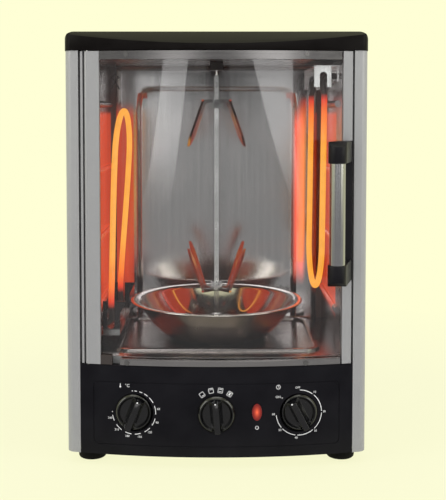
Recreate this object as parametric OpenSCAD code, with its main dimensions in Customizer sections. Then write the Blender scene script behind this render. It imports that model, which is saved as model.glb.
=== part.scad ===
// Upright table grill with a turning spit, a bowed glass door, two hairpin heating elements,
// a drip pan and three control knobs. X is to the right, Y to the back and Z up.

/* [Casing] */
// Width of the casing across its side panels
casing_w = 320; // [312:1:335]
// Depth of the casing from the middle of the door's front to the back cover
casing_d = 250; // [242:1:275]
// Height of the top above the surface it stands on
total_h = 461; // [452:1:490]
// Radius of the bowed front, seen from above
bow_r = 660; // [620:10:800]
// Radius of the casing's front corners, seen from above
corner_r = 10; // [8:0.5:12]
// Thickness of the sheet steel
sheet_t = 0.8; // [0.6:0.1:1]
// Thickness of the moulded plastic shells
shell_t = 2.5; // [2.2:0.1:2.8]
// Width of the side panels' returns on the front
return_w = 14.6; // [13:0.2:16]
// Height of the top cap
cap_h = 20.5; // [18:0.5:24]
// Depth of the sloping band along the cap's front
cap_slope_d = 25; // [18:1:32]
// Height that the sloping band rises
cap_slope_h = 14; // [10:0.5:16]
// Radius along the cap's upper side edges
cap_edge_r = 10; // [6:0.5:12]
// How far the cap stands proud of the panels
cap_lip = 0.6; // [0.3:0.1:1.2]
// Thickness of the base plate
base_t = 1.2; // [1:0.1:1.6]
// Height of the base plate's folded edge
base_edge_h = 10; // [6:1:14]

/* [Feet] */
// Height of the feet
foot_h = 12; // [9:0.5:16]
// Diameter of the feet
foot_d = 30; // [24:1:34]
// Rounding of the feet's lower edge
foot_round = 3; // [1.5:0.5:4]
// Distance of the feet's centres from the casing's sides
foot_inset_x = 24.5; // [22:0.5:30]
// Distance of the front feet's centres behind the door's front
foot_front_d = 40; // [39:1:50]
// Distance of the rear feet's centres before the back cover
foot_back_d = 25; // [20:1:35]

/* [Oven cavity] */
// Gap between the casing's side and the inside of the cavity's wall
jacket_w = 27; // [25:0.5:30]
// Gap between the cavity's back wall and the back cover's outside
jacket_back = 36; // [32:1:42]
// Height of the cavity's floor above the fascia
floor_rise = 7.7; // [7:0.1:9]
// Height of the cap's lower edge above the cavity's ceiling
ceiling_drop = 7.2; // [6:0.1:8]
// Depth of the panel stamped into the back wall
stamp_d = 12; // [6:0.5:16]
// Width of the stamped panel
stamp_w = 202; // [180:1:220]
// Distance from the stamped panel's top to the ceiling
stamp_top_gap = 24.3; // [18:0.5:40]
// Corner radius of the stamped panel
stamp_r = 22; // [16:1:26]
// Number of runner beads on each side wall
runner_count = 4; // [2:1:4]
// Height of the lowest runner bead above the floor
runner_low = 42.3; // [40:0.5:50]
// Distance of the highest runner bead below the ceiling
runner_top = 48.2; // [40:0.1:56]
// Radius of the runner beads
runner_r = 4; // [3:0.2:4.5]
// Distance of the runners' ends from the back wall
runner_end = 9; // [5:1:20]
// Length of the runner beads
runner_len = 151; // [120:1:155]
// Width of the rounded frame pressed into the floor
floor_bead_w = 228; // [220:1:236]
// Depth of the rounded frame pressed into the floor
floor_bead_d = 168; // [160:1:172]
// Width of the bead itself
floor_bead_t = 7; // [5:0.5:9]
// Height of the bead itself
floor_bead_h = 3; // [2:0.2:4]
// Corner radius of the floor bead
floor_bead_r = 20; // [14:1:28]

/* [Door] */
// Gap between the door and the pieces around it
door_gap = 0.8; // [0.6:0.1:1.2]
// Thickness of the door frame
door_t = 8; // [7.5:0.1:8.5]
// Width of the stile on the hinge side
left_stile_w = 16.1; // [14:0.1:18]
// Width of the stile on the handle side
right_stile_w = 10; // [9:0.1:12]
// Height of the top rail
top_rail_h = 8.7; // [8:0.1:10]
// Height of the bottom rail
bottom_rail_h = 7.1; // [6.8:0.1:8]
// Width of the fixed strip beside the hinge stile
hinge_strip_w = 2.5; // [2.2:0.1:2.9]
// Width of the dark seam at each side of the door
seam_w = 2.2; // [1.8:0.1:2.6]
// Depth of the hinge strip behind the door's front
strip_in = 1; // [0.8:0.1:1.4]
// Gap between the hinge strip and the door
hinge_gap = 1.6; // [1.5:0.1:1.8]
// Radius of the hinge stile's rolled edge
barrel_r = 3.3; // [3:0.1:3.6]
// Radius of the hinge pins
pin_r = 1.5; // [1.2:0.1:1.8]
// Length of the hinge pins
pin_len = 22; // [16:1:26]
// Length of each hinge pin inside the casing
pin_out = 7; // [5:0.5:9]
// Thickness of the glass
glass_t = 3.6; // [3:0.1:4]
// Depth of the glass behind the door's front
glass_in = 2.2; // [1.8:0.1:2.4]
// How far the glass reaches into the stiles
glass_grip = 4; // [3:0.5:5]
// How far the glass reaches into the rails
glass_rail_grip = 2; // [1.5:0.1:2.2]
// Gap between the rails' ends and the handle-side stile
rail_gap = 1.6; // [1:0.1:2]
// Distance from the hinge stile to the bottom rail
corner_gap = 21; // [18:0.5:24]
// Width of the block under the glass's corner
corner_block_w = 12.5; // [10:0.5:14]
// Height of the block under the glass's corner
corner_block_h = 10; // [9:0.2:12]
// Distance of the door's screws from the bottom rail's end
door_screw_end = 7.5; // [6:0.5:10]
// Radius of the door's screw heads
door_screw_head_r = 2.8; // [2.2:0.1:3]
// Radius of the door's screw shanks
door_screw_r = 1.3; // [1:0.1:1.5]

/* [Handle] */
// How far the handle stands in front of the middle of the door
handle_reach = 34.6; // [30:0.2:38]
// Length of the handle with its end pieces
handle_len = 147.5; // [130:0.5:160]
// Height of the handle's lower end above the door's lower edge
handle_low = 89.6; // [80:1:110]
// Diameter of the handle tube
grip_d = 16; // [14:0.5:17]
// Wall of the handle tube
grip_wall = 1.2; // [1:0.1:1.5]
// Distance of the tube's centre from the door's handle-side edge
grip_inset = 20.4; // [18:0.2:23]
// Height of each end piece
end_piece_h = 22; // [18:0.5:25]
// Wall of the end pieces round the tube
end_piece_wall = 1.6; // [1.2:0.1:2]
// Slope on the outer end of each end piece
end_piece_bevel = 5; // [3:0.5:6]
// Thickness of the plate behind the handle
back_plate_t = 2.5; // [2:0.1:3]

/* [Controls] */
// Height of the control fascia
fascia_h = 96; // [92:1:104]
// Depth of the fascia's upper and lower edges
fascia_edge_d = 9.5; // [8.5:0.1:9.6]
// Distance between the knobs' centres
knob_pitch = 87.3; // [80:0.5:92]
// Height of the knobs' centres above the fascia's lower edge
knob_rise = 46.5; // [40:0.5:52]
// Radius of the knobs' skirts
knob_r = 19.5; // [17:0.1:20]
// Radius of the knobs' faces inside the skirt
knob_face_r = 17.7; // [15:0.1:18]
// Height of the knobs' skirts
skirt_h = 4; // [3:0.2:5]
// Depth of the bowl between skirt and grip
knob_bowl_d = 2; // [1:0.1:2.4]
// Height of the knobs with their grips
knob_h = 18; // [15:0.5:20]
// Thickness of the knobs' grips at the top
fin_w = 6; // [5:0.2:7.5]
// Radius of the hollows at both sides of a grip
scoop_r = 26; // [22:1:32]
// Radius of the round dishes in the fascia
dish_r = 20.6; // [20.4:0.1:22]
// Radius of the knobs' shafts
shaft_r = 3; // [2.5:0.1:3.2]
// Length of the shafts inside the controls
shaft_in = 12; // [10:0.5:14]
// Depth of the shaft inside the knob
shaft_grip = 11; // [8:0.5:12]
// Width of the faint frame line's rectangle
frame_line_w = 262; // [240:1:268]
// Height of the faint frame line's rectangle
frame_line_h = 68; // [60:1:74]
// Height of the rectangle's middle above the fascia's lower edge
frame_line_rise = 45; // [42:0.5:48]
// Width of the line itself
frame_line_t = 1; // [0.6:0.1:1.6]
// Depth of the line itself
frame_line_d = 0.5; // [0.3:0.1:0.8]
// Corner radius of the faint frame line
frame_line_r = 6; // [4:0.5:10]
// Distance of the lamp from the middle
lamp_x = 42.7; // [40:0.1:44]
// Height of the lamp above the knobs' centres
lamp_rise = 2; // [0:0.5:4]
// Width of the lamp's lens
lamp_w = 10.4; // [8:0.1:12]
// Height of the lamp's lens
lamp_h = 17.7; // [14:0.1:19]
// How far the lens stands proud
lamp_proud = 1.4; // [0.8:0.1:2]

/* [Elements] */
// Diameter of the heating elements' tube
element_d = 6.6; // [6:0.1:7.2]
// Bend radius of the hairpins
hairpin_r = 50; // [45:0.5:54]
// Straight length of the left hairpin
left_leg = 179.6; // [165:0.5:190]
// Straight length of the right hairpin
right_leg = 183; // [165:0.5:190]
// Distance of the elements' legs from the side walls
element_off = 16; // [14:0.5:18]
// How far the left hairpin leans inwards over its length
left_lean = 7.8; // [4:0.2:10]
// How far the right hairpin leans inwards over its length
right_lean = 4; // [2:0.2:8]
// Bend radius where the legs turn to the wall
elbow_r = 8; // [6:0.5:9]
// Length of each element from the elbow through the wall
element_tail = 16; // [14:0.5:18]
// Distance of the elements' middle from the back wall
element_back = 96; // [90:1:100]
// Height of the left element's ends above the floor
left_end_rise = 24.3; // [22:0.5:28]
// Distance of the right element's ends below the ceiling
right_end_drop = 17.3; // [16:0.5:20]

/* [Spit] */
// Distance of the spit's axis in front of the back wall
spit_back = 95; // [90:1:98]
// Width of the square spit
spit_w = 5.2; // [5:0.1:6.4]
// Radius of the pin at the spit's top
spit_pin_r = 1.7; // [1.4:0.1:2]
// Height from the cavity's floor to the spit's lower end
spit_low = 19.6; // [18.5:0.1:20.5]
// Distance from the end of the spit's square part to the ceiling
spit_top_gap = 15.3; // [13:0.5:18]
// Distance from the top of the spit's pin to the ceiling
spit_pin_gap = 3.3; // [3:0.1:4]
// Radius of the drive spindle
spindle_r = 5; // [4.6:0.1:5.2]
// Radius of the spindle's head
spindle_head_r = 6; // [5.6:0.1:6.4]
// Height of the spindle's head
spindle_head_h = 15; // [13:0.5:16]
// Depth of the socket in the spindle's head
socket_d = 6; // [5:0.1:6.2]
// Length of the forks' hubs along the spit
fork_hub_h = 10; // [9:0.5:12]
// Width of the forks' hubs
fork_hub_w = 13; // [12:0.5:14]
// Distance of the upper fork's hub below the ceiling
upper_fork_drop = 52.8; // [44:0.5:76]
// Height of the lower fork's hub above the floor
lower_fork_rise = 52.7; // [50:0.1:60]
// Reach of the forks' arms from the spit's axis
fork_arm = 19; // [16:0.5:20]
// Length of the tines
tine_len = 56; // [40:1:60]
// Width of the tines
tine_w = 4; // [3.4:0.2:5]
// Thickness of the tines
tine_t = 3.6; // [3:0.2:4]
// Length of the tines' points
tine_tip = 12; // [8:1:16]
// Slope of the tines from the spit, in degrees
tine_slope = 26; // [18:1:28]
// Radius of the fork screws' shanks
fork_screw_r = 2; // [1.8:0.1:2.2]
// Radius of the fork screws' knurled heads
fork_screw_head_r = 3.6; // [3:0.1:3.8]
// Length of the fork screws' heads
fork_screw_head_l = 7; // [5:0.5:9]

/* [Drip pan] */
// Radius of the drip pan
pan_r = 100; // [94:0.5:104]
// Height of the pan's rim above the floor
pan_h = 43.6; // [38:0.2:46]
// Radius of the pan's flat bottom
pan_flat_r = 60; // [50:1:66]
// Thickness of the pan's steel
pan_t = 0.8; // [0.6:0.1:1.2]
// Radius of the rolled rim
pan_rim_r = 1.6; // [1.2:0.1:2]
// Radius at the foot of the pan's hub
pan_hub_r = 24; // [20:1:28]
// Height of the pan's hub
pan_hub_h = 19; // [16:0.5:22]
// Radius of the hole in the pan's hub
pan_hole_r = 7.5; // [7:0.1:8.5]

/* [Drive and wiring] */
// Radius of the motor
motor_r = 26; // [22:0.5:28]
// Height of the motor
motor_h = 22; // [18:0.5:24]
// Distance of the motor's top below the cavity's floor
motor_drop = 28.7; // [26:0.5:32]
// Width of the motor's bracket
bracket_w = 70; // [62:1:80]
// Depth of the motor's bracket
bracket_d = 36; // [30:1:44]
// Thickness of the brackets
bracket_t = 1.2; // [1:0.1:1.6]
// Radius of the hole for a mains lead
gland_bore_r = 3.6; // [3:0.1:4]
// Radius of the gland's collar
gland_r = 8; // [7:0.5:9]
// How far the gland's collar stands behind the back cover
gland_lip = 1.5; // [1:0.1:2]
// Length of the gland
gland_len = 14; // [10:0.5:16]
// Radius of the wires
wire_r = 1.1; // [0.8:0.1:1.3]

/* [Hidden] */
$fn = 64;
bow_fn = 720;
scoop_fn = 96;
pan_fn = 96;
fine_fn = 32;
wire_sides = 8;

// Clearances and overruns
seam = 0.1;
corner_bite = 0.1;
part_gap = 0.3;
run_gap = 0.06;
over = 1;

// Colours
steel = "silver";
dark = "#1c1c1e";
bright = "#c9c9cc";
hot = "#ff8c2a";
brassy = "#c9a24a";
copper = "#b5452a";

// Main levels and planes
front_y = handle_reach - (handle_reach + casing_d + gland_lip) / 2;
back_y = front_y + casing_d;
bow_y = front_y + bow_r;
half_w = casing_w / 2;
fascia_top = foot_h + fascia_h;
cap_z = total_h - cap_h;
door_z0 = fascia_top + door_gap;
door_z1 = cap_z - door_gap;
floor_z = fascia_top + floor_rise;
ceiling_z = cap_z - ceiling_drop;
cav_x = half_w - jacket_w;
cav_y = back_y - jacket_back;
frame_gap = 2;
frame_lap_low = 10;
frame_lap_high = 5;
frame_in = door_t + frame_gap;
frame_back = frame_in + sheet_t;
panel_edge = half_w - return_w;
spit_y = cav_y - spit_back;
element_y = cav_y - element_back;

// Door
strip_x0 = -panel_edge + seam_w;
strip_x1 = strip_x0 + hinge_strip_w;
door_x0 = strip_x1 + hinge_gap;
door_x1 = panel_edge - seam_w;
left_in = door_x0 + left_stile_w;
right_in = door_x1 - right_stile_w;
hinge_x = door_x0 + barrel_r;
hinge_y = bow_y - sqrt(pow(bow_r - barrel_r, 2) - pow(hinge_x, 2));
glass_z0 = door_z0 + bottom_rail_h - glass_rail_grip;
glass_z1 = door_z1 - top_rail_h + glass_rail_grip;
rail_end = right_in - rail_gap;
door_screw_x = -left_in - corner_gap - door_screw_end;
screw_high = door_z1 - (top_rail_h - glass_rail_grip) / 2;
screw_low = door_z0 + (bottom_rail_h - glass_rail_grip) / 2;
rail_line_t = 1;
bottom_line_rise = 5.7;
rail_line_d = 0.9;
screw_head_h = 1.4;
screw_head_in = 0.8;
door_screw_len = 7;
magnet_h = 20;
magnet_rise = 60;
strike_t = 0.8;
magnet_side = 1.6;

// Handle
grip_r = grip_d / 2;
end_r = grip_r + end_piece_wall;
grip_x = door_x1 - grip_inset;
grip_y = front_y - handle_reach + end_r;
handle_z0 = door_z0 + handle_low;
handle_z1 = handle_z0 + handle_len;
grip_socket = 15.4;
end_foot_w = 15;

// Controls
knob_z = foot_h + knob_rise;
lamp_z = knob_z + lamp_rise;
fin_foot_w = 13.2;
skirt_lip = 1;
dish_wall = 2;
dish_in = 0.3;
plate_foot = 14;
plate_top_gap = 10;
collar_wall = 2.2;
collar_r = shaft_r + collar_wall;
collar_l = 5;
bore_r = shaft_r + run_gap;
knob_hole = shaft_r + seam / 2;
thermostat_w = 33;
thermostat_h = 29;
thermostat_d = 22;
switch_w = 29;
switch_d = 20;
timer_w = 47;
timer_h = 41;
timer_d = 31;
plate_x = knob_pitch + timer_w / 2 + bracket_t;
plate_in = bow_depth(plate_x) + fascia_edge_d + seam + base_t + part_gap;
temperature_turn = 22;
function_turn = -5;
timer_turn = -28;
lamp_step = 7.5;
lamp_body_w = 14;
lamp_body_h = 22;
lamp_body_d = 18;
lamp_clear = 0.5;
boss_r = 4.5;

// Elements
element_r = element_d / 2;
left_end_z = floor_z + left_end_rise;
right_end_z = ceiling_z - right_end_drop;
element_x = cav_x - element_off;
cradle_end = 10;
cradle_drop = 11.2;
cradle_front_x = 7.3;
cradle_w = 26.1;
cradle_slot_r = 4;
cradle_left_h = 38.2;
cradle_right_h = 23.8;
cradle_web_h = 18;
wing_w = 6.7;
wing_h = 16;
tab_l = 8;
tab_w = 6.3;
tab_t = 0.8;
stud_r = 2;
stud_l = 3;
hook_r = 0.6;
hook_joint = 0.8;
hook_size = 4.2;

// Spit and drive
spit_z0 = floor_z + spit_low;
spit_z1 = ceiling_z - spit_top_gap;
pin_z1 = ceiling_z - spit_pin_gap;
spit_half = spit_w / 2;
socket_play = 0.24;
socket_w = spit_w + socket_play;
fork_hole = spit_w + part_gap;
spindle_top = spit_z0 + socket_d - part_gap;
motor_z1 = floor_z - motor_drop;
motor_bore_d = 14;
motor_plug_l = 5.2;
motor_plug_w = 17;
motor_plug_h = 6;
bracket_clear = 1;
bracket_wing = 10.8;
spindle_z0 = motor_z1 - motor_bore_d + part_gap;
bush_wall = 1.6;
bush_r = spindle_r + bush_wall;
bush_flange_r = 8.5;
bush_flange_h = 1.6;
bush_len = 10;
block_w = 15;
block_h = 8.8;
lower_fork_z = floor_z + lower_fork_rise;
upper_fork_z = ceiling_z - upper_fork_drop;
pan_z = floor_z + part_gap;
pan_steps = 12;
tine_turns = [45, 135, 225, 315];
fork_screw_rise = 6;
knurls = 8;
knurl_r = 1.2;
knurl_out = 0.6;

// Fasteners and vents
machine_r = 2;
machine_head_r = 3.6;
machine_head_h = 2;
casing_screw_inset = 6.5;
casing_screw_low = 54;
casing_screw_top = 27;
casing_screw_r = 1.3;
casing_screw_head_r = 2.8;
casing_screw_len = 7;
vent_w = 26;
vent_h = 3;
vent_r = 1.4;
vent_step_x = 26;
vent_pitch = 8;
vent_rows = 6;
gland_inset = 50;
gland_rise = 28;
gland_x = -half_w + gland_inset;
gland_z = foot_h + gland_rise;
block_step = 24;
block_len = 44;
block_ways = 4;
wire_lane = 4.4;
block_deep = 18;
block_tall = 20;

// Depth of the bowed front behind its foremost line, at a distance from the middle
function bow_depth(x, inset = 0) = bow_r - sqrt(pow(bow_r - inset, 2) - x * x);

// Depth of a dish's floor, below the lowest part of its rim
function dish_depth(x) = bow_depth(abs(x) + dish_r) + dish_in;

// Solid from an outline in X and Y
module rise(z0, z1) {
    translate([0, 0, z0]) linear_extrude(z1 - z0) children();
}

// Solid from an outline in X and Z
module in_xz(y0, y1) {
    translate([0, y1, 0]) rotate([90, 0, 0]) linear_extrude(y1 - y0) children();
}

// Solid from an outline in Y and Z
module in_yz(x0, x1) {
    translate([x0, 0, 0]) rotate([90, 0, 90]) linear_extrude(x1 - x0) children();
}

// Round bar along Y
module bar_y(r, y0, y1) {
    translate([0, y0, 0]) rotate([-90, 0, 0]) cylinder(r = r, h = y1 - y0);
}

// Rectangle with round corners, centred
module round_rect(w, h, r) {
    square([w - 2 * r, h], center = true);
    square([w, h - 2 * r], center = true);
    for (sx = [-1, 1], sy = [-1, 1])
        translate([sx * (w / 2 - r), sy * (h / 2 - r)]) circle(r);
}

// Disc of the bowed front, drawn in by an inset
module bow_disc(inset) {
    translate([0, bow_y]) circle(bow_r - inset, $fn = bow_fn);
}

// Outline of a wall that follows the bowed front between two insets
module bow_strip(d0, d1, x0, x1) {
    intersection() {
        difference() {
            bow_disc(d0);
            bow_disc(d1);
        }
        translate([x0, front_y - handle_reach]) square([x1 - x0, handle_reach + casing_d / 2]);
    }
}

// Wall that follows the bowed front between two insets
module bow_band(d0, d1, x0, x1, z0, z1) {
    rise(z0, z1) bow_strip(d0, d1, x0, x1);
}

// Places a piece on the bowed front, its own -Y pointing outwards
module on_bow(x, depth, z) {
    translate([0, bow_y, z]) rotate([0, 0, asin(x / bow_r)]) translate([0, depth - bow_r, 0]) children();
}

// Outline of the casing from above, drawn in by an inset on its front and sides
module plan(inset, back) {
    side = half_w - inset;
    r = bow_r - inset;
    c = corner_r - inset;
    cx = side - c;
    cy = bow_y - sqrt(pow(r - c, 2) - cx * cx) - corner_bite;
    touch_x = cx * r / (r - c);
    intersection() {
        bow_disc(inset);
        union() {
            for (s = [-1, 1]) translate([s * cx, cy]) circle(c);
            translate([-side, cy]) square([2 * side, back - cy]);
            translate([-touch_x, bow_y - r - over]) square([2 * touch_x, cy - bow_y + r + over]);
        }
    }
}

// Side panel: a sheet with a return round the front corner and a flange at the back
module side_panel(side) {
    back = back_y - sheet_t;
    flange = corner_r + sheet_t;
    inner = side > 0 ? panel_edge : -half_w;
    difference() {
        rise(foot_h, cap_z) {
            intersection() {
                difference() {
                    plan(0, back - sheet_t / 2);
                    plan(sheet_t, back + over);
                }
                translate([inner, front_y - over]) square([half_w - panel_edge, casing_d + over]);
            }
            translate([side > 0 ? half_w - flange : -half_w, back - sheet_t]) square([flange, sheet_t]);
        }
        casing_screw_places() bar_y(casing_screw_r + seam, -flange, over);
    }
}

module left_side_panel() {
    color(steel) side_panel(-1);
}

module right_side_panel() {
    color(steel) side_panel(1);
}

// One ventilation slot, upright outline
module vent_slot() {
    round_rect(vent_w, vent_h, vent_r);
}

module back_cover() {
    color(steel) difference() {
        in_xz(back_y - sheet_t, back_y) translate([-half_w, foot_h]) square([casing_w, cap_z - foot_h]);
        in_xz(back_y - sheet_t - over, back_y + over)
            for (sx = [-1, 1], i = [0 : vent_rows - 1])
                for (level = [knob_z - vent_pitch, ceiling_z - vent_pitch * vent_rows])
                    translate([sx * vent_step_x, level + i * vent_pitch]) vent_slot();
        translate([gland_x, 0, gland_z]) bar_y(gland_r - gland_lip, back_y - sheet_t - over, back_y + over);
        casing_screw_places() bar_y(casing_screw_r + seam, -sheet_t - over, over);
    }
}

// Places of the screws that hold the back cover, with Y zero at its outside
module casing_screw_places() {
    for (sx = [-1, 1], z = [foot_h + casing_screw_low, (foot_h + cap_z) / 2, cap_z - casing_screw_top])
        translate([sx * (half_w - casing_screw_inset), back_y, z]) children();
}

module casing_screws() {
    color(dark) casing_screw_places() {
        bar_y(casing_screw_r, -casing_screw_len, 0);
        bar_y(casing_screw_head_r, 0, screw_head_h);
    }
}

// Outer form of the cap, drawn in by a wall
module cap_form(inset, low) {
    f = front_y - cap_lip + inset;
    top = total_h - inset;
    slope_z = total_h - cap_slope_h - inset;
    intersection() {
        rise(low, top + over) plan(inset - cap_lip, back_y - inset);
        in_xz(front_y - over, back_y + over)
            translate([0, top - casing_w / 2])
                round_rect(casing_w + 2 * cap_lip - 2 * inset, casing_w, cap_edge_r - inset);
        in_yz(-casing_w, casing_w)
            polygon([[f, low - over], [f, slope_z], [f + cap_slope_d, top], [back_y, top],
                [back_y, low - over]]);
    }
}

module top_cap() {
    color(dark) difference() {
        union() {
            difference() {
                cap_form(0, cap_z);
                cap_form(shell_t, cap_z - over);
            }
            intersection() {
                cap_form(0, cap_z);
                union() {
                    bow_band(0, fascia_edge_d, -half_w, half_w, cap_z, cap_z + shell_t);
                    translate([hinge_x, hinge_y, cap_z]) cylinder(r = boss_r, h = pin_out + part_gap);
                }
            }
        }
        translate([hinge_x, hinge_y, cap_z - over])
            cylinder(r = pin_r + run_gap, h = pin_out + part_gap + over);
    }
}

// Outline of the base plate, drawn in by an inset
module base_outline(inset) {
    intersection() {
        plan(sheet_t + seam + inset, back_y - sheet_t * 2 - seam - inset);
        bow_disc(fascia_edge_d + seam + inset);
    }
}

module foot_places(z) {
    for (sx = [-1, 1], y = [front_y + foot_front_d, back_y - foot_back_d])
        translate([sx * (half_w - foot_inset_x), y, z]) children();
}

module base_plate() {
    color(steel) difference() {
        union() {
            rise(foot_h, foot_h + base_t) base_outline(0);
            rise(foot_h, foot_h + base_edge_h) difference() {
                base_outline(0);
                base_outline(base_t);
            }
        }
        foot_places(foot_h - over) cylinder(r = machine_r + seam, h = base_t + 2 * over);
        plate_screw_places(foot_h - over) cylinder(r = machine_r + seam, h = base_t + 2 * over);
        rise(foot_h - over, foot_h + base_t + over)
            for (sx = [-1, 1], i = [0 : vent_rows - 1])
                translate([sx * vent_step_x, spit_y + (i - vent_rows / 2) * vent_pitch]) vent_slot();
    }
}

module feet() {
    r = foot_d / 2;
    color(dark) foot_places(0) difference() {
        rotate_extrude() {
            translate([0, foot_round]) square([r, foot_h - foot_round]);
            square([r - foot_round, foot_h]);
            intersection() {
                translate([r - foot_round, foot_round]) circle(foot_round, $fn = fine_fn);
                square([r, foot_h]);
            }
        }
        translate([0, 0, -over]) cylinder(r = machine_r + seam, h = foot_h + 2 * over);
        translate([0, 0, -over]) cylinder(r = machine_head_r + part_gap, h = foot_h / 2 + over);
    }
}

// Frame behind the door, with the fixed strip beside the hinge
module front_frame() {
    x1 = half_w + cap_lip - shell_t - part_gap;
    z0 = fascia_top - frame_lap_low;
    z1 = cap_z + frame_lap_high;
    color(steel) difference() {
        union() {
            bow_band(frame_in, frame_back, -x1, x1, z0, z1);
            bow_band(strip_in, strip_in + sheet_t, strip_x0, strip_x1, door_z0, door_z1);
            bow_band(strip_in, frame_back, strip_x0, strip_x0 + sheet_t, door_z0, door_z1);
        }
        in_xz(front_y - over, front_y + casing_d / 2)
            translate([-cav_x, floor_z]) square([2 * cav_x, ceiling_z - floor_z]);
    }
}

// Round dish and shaft hole of one knob
module dish_cut(x) {
    translate([x, front_y, knob_z]) {
        bar_y(dish_r, -handle_reach, dish_depth(x));
        bar_y(collar_r + part_gap, -handle_reach, casing_d / 2);
    }
}

// Outline of the lamp's lens
module lamp_outline(grow) {
    polygon([for (a = [0 : lamp_step : 360 - lamp_step])
        [(lamp_w / 2 + grow) * cos(a), (lamp_h / 2 + grow) * sin(a)]]);
}

module control_fascia() {
    x1 = panel_edge - part_gap;
    color(dark) difference() {
        union() {
            bow_band(0, shell_t, -x1, x1, foot_h, fascia_top);
            bow_band(0, fascia_edge_d, -x1, x1, fascia_top - shell_t, fascia_top);
            bow_band(0, fascia_edge_d, -x1, x1, foot_h, foot_h + shell_t);
            for (x = [-knob_pitch, 0, knob_pitch])
                intersection() {
                    translate([x, front_y, knob_z]) bar_y(dish_r + dish_wall, 0, dish_depth(x) + dish_wall);
                    bow_band(0, casing_d / 4, -x1, x1, foot_h, fascia_top);
                }
            translate([hinge_x, hinge_y, fascia_top - pin_out - part_gap])
                cylinder(r = boss_r - barrel_r + pin_r, h = pin_out + part_gap);
        }
        for (x = [-knob_pitch, 0, knob_pitch]) dish_cut(x);
        translate([hinge_x, hinge_y, fascia_top - pin_out - part_gap * 2])
            cylinder(r = pin_r + run_gap, h = pin_out + part_gap * 2 + over);
        in_xz(front_y - over, front_y + plate_in) translate([lamp_x, lamp_z]) lamp_outline(seam);
        intersection() {
            bow_band(-over, frame_line_d, -x1, x1, foot_h, fascia_top);
            in_xz(front_y - over, front_y + casing_d / 4)
                translate([0, foot_h + frame_line_rise]) difference() {
                    round_rect(frame_line_w, frame_line_h, frame_line_r);
                    round_rect(frame_line_w - 2 * frame_line_t, frame_line_h - 2 * frame_line_t,
                        frame_line_r - frame_line_t);
                }
        }
    }
}

// Levels of the runner beads
function runner_z(i) = floor_z + runner_low
    + i * (ceiling_z - runner_top - floor_z - runner_low) / (runner_count - 1);

// Side wall of the cavity with its pressed runner beads and the holes for an element's ends
module cavity_side_wall(side, end_z) {
    x0 = side > 0 ? cav_x : -cav_x - sheet_t;
    bead_y1 = cav_y - runner_end;
    bead_y0 = bead_y1 - runner_len;
    color(bright) difference() {
        union() {
            rise(floor_z - sheet_t, ceiling_z + sheet_t) intersection() {
                translate([x0, front_y]) square([sheet_t, cav_y - front_y]);
                bow_disc(frame_back + seam);
            }
            for (i = [0 : runner_count - 1])
                in_xz(bead_y0, bead_y1) translate([side * cav_x, runner_z(i)]) intersection() {
                    circle(runner_r, $fn = fine_fn);
                    translate([side > 0 ? -runner_r : 0, -runner_r]) square([runner_r, 2 * runner_r]);
                }
        }
        for (i = [0 : runner_count - 1])
            in_xz(bead_y0 + sheet_t, bead_y1 - sheet_t) translate([side * (cav_x + sheet_t), runner_z(i)])
                circle(runner_r - sheet_t / 2, $fn = fine_fn);
        for (s = [-1, 1]) translate([side * (cav_x - over), element_y + s * hairpin_r, end_z])
            rotate([0, side * 90, 0]) cylinder(r = element_r + part_gap, h = sheet_t + 2 * over);
    }
}

module cavity_left_wall() {
    cavity_side_wall(-1, left_end_z + tail_lift(left_leg, left_lean));
}

module cavity_right_wall() {
    cavity_side_wall(1, right_end_z - tail_lift(right_leg, right_lean));
}

// Outline of the stamped panel in the back wall, drawn in by an inset
module stamp_outline(inset) {
    tall = ceiling_z - stamp_top_gap - floor_z;
    intersection() {
        translate([0, floor_z + tall - stamp_w / 2 - tall / 2])
            round_rect(stamp_w - 2 * inset, stamp_w + tall - 2 * inset, stamp_r - inset);
        translate([-stamp_w, floor_z + inset]) square([2 * stamp_w, tall]);
    }
}

module cavity_back_wall() {
    color(bright) difference() {
        union() {
            in_xz(cav_y, cav_y + sheet_t) translate([-cav_x - sheet_t, floor_z - sheet_t])
                square([2 * (cav_x + sheet_t), ceiling_z - floor_z + 2 * sheet_t]);
            in_xz(cav_y, cav_y + stamp_d + sheet_t) stamp_outline(0);
        }
        in_xz(cav_y - over, cav_y + stamp_d) stamp_outline(sheet_t);
    }
}

// Flat plate between the side walls, its front edge bowed
module cavity_plate(z0) {
    rise(z0, z0 + sheet_t) intersection() {
        translate([-cav_x, front_y]) square([2 * cav_x, cav_y - front_y]);
        bow_disc(frame_back + seam);
    }
}

module cavity_ceiling() {
    color(bright) difference() {
        cavity_plate(ceiling_z);
        translate([0, spit_y, ceiling_z - over])
            cylinder(r = spit_pin_r + part_gap * 2, h = sheet_t + 2 * over);
    }
}

module cavity_floor() {
    mid_y = cav_y - runner_end - floor_bead_d / 2;
    color(bright) difference() {
        union() {
            cavity_plate(floor_z - sheet_t);
            rise(floor_z - sheet_t, floor_z + floor_bead_h) translate([0, mid_y]) difference() {
                round_rect(floor_bead_w, floor_bead_d, floor_bead_r);
                round_rect(floor_bead_w - 2 * floor_bead_t, floor_bead_d - 2 * floor_bead_t,
                    floor_bead_r - floor_bead_t);
            }
        }
        translate([0, spit_y, floor_z - sheet_t - over])
            cylinder(r = bush_r + seam / 2, h = sheet_t + 2 * over);
        bracket_screw_places(floor_z - sheet_t - over)
            cylinder(r = machine_r + seam, h = sheet_t + 2 * over);
    }
}

// Lean of a hairpin, and how far it lifts the ends where they pass the wall
function lean_angle(leg, lean) = atan(lean / leg);
function tail_lift(leg, lean) = element_off * sin(lean_angle(leg, lean));

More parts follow.
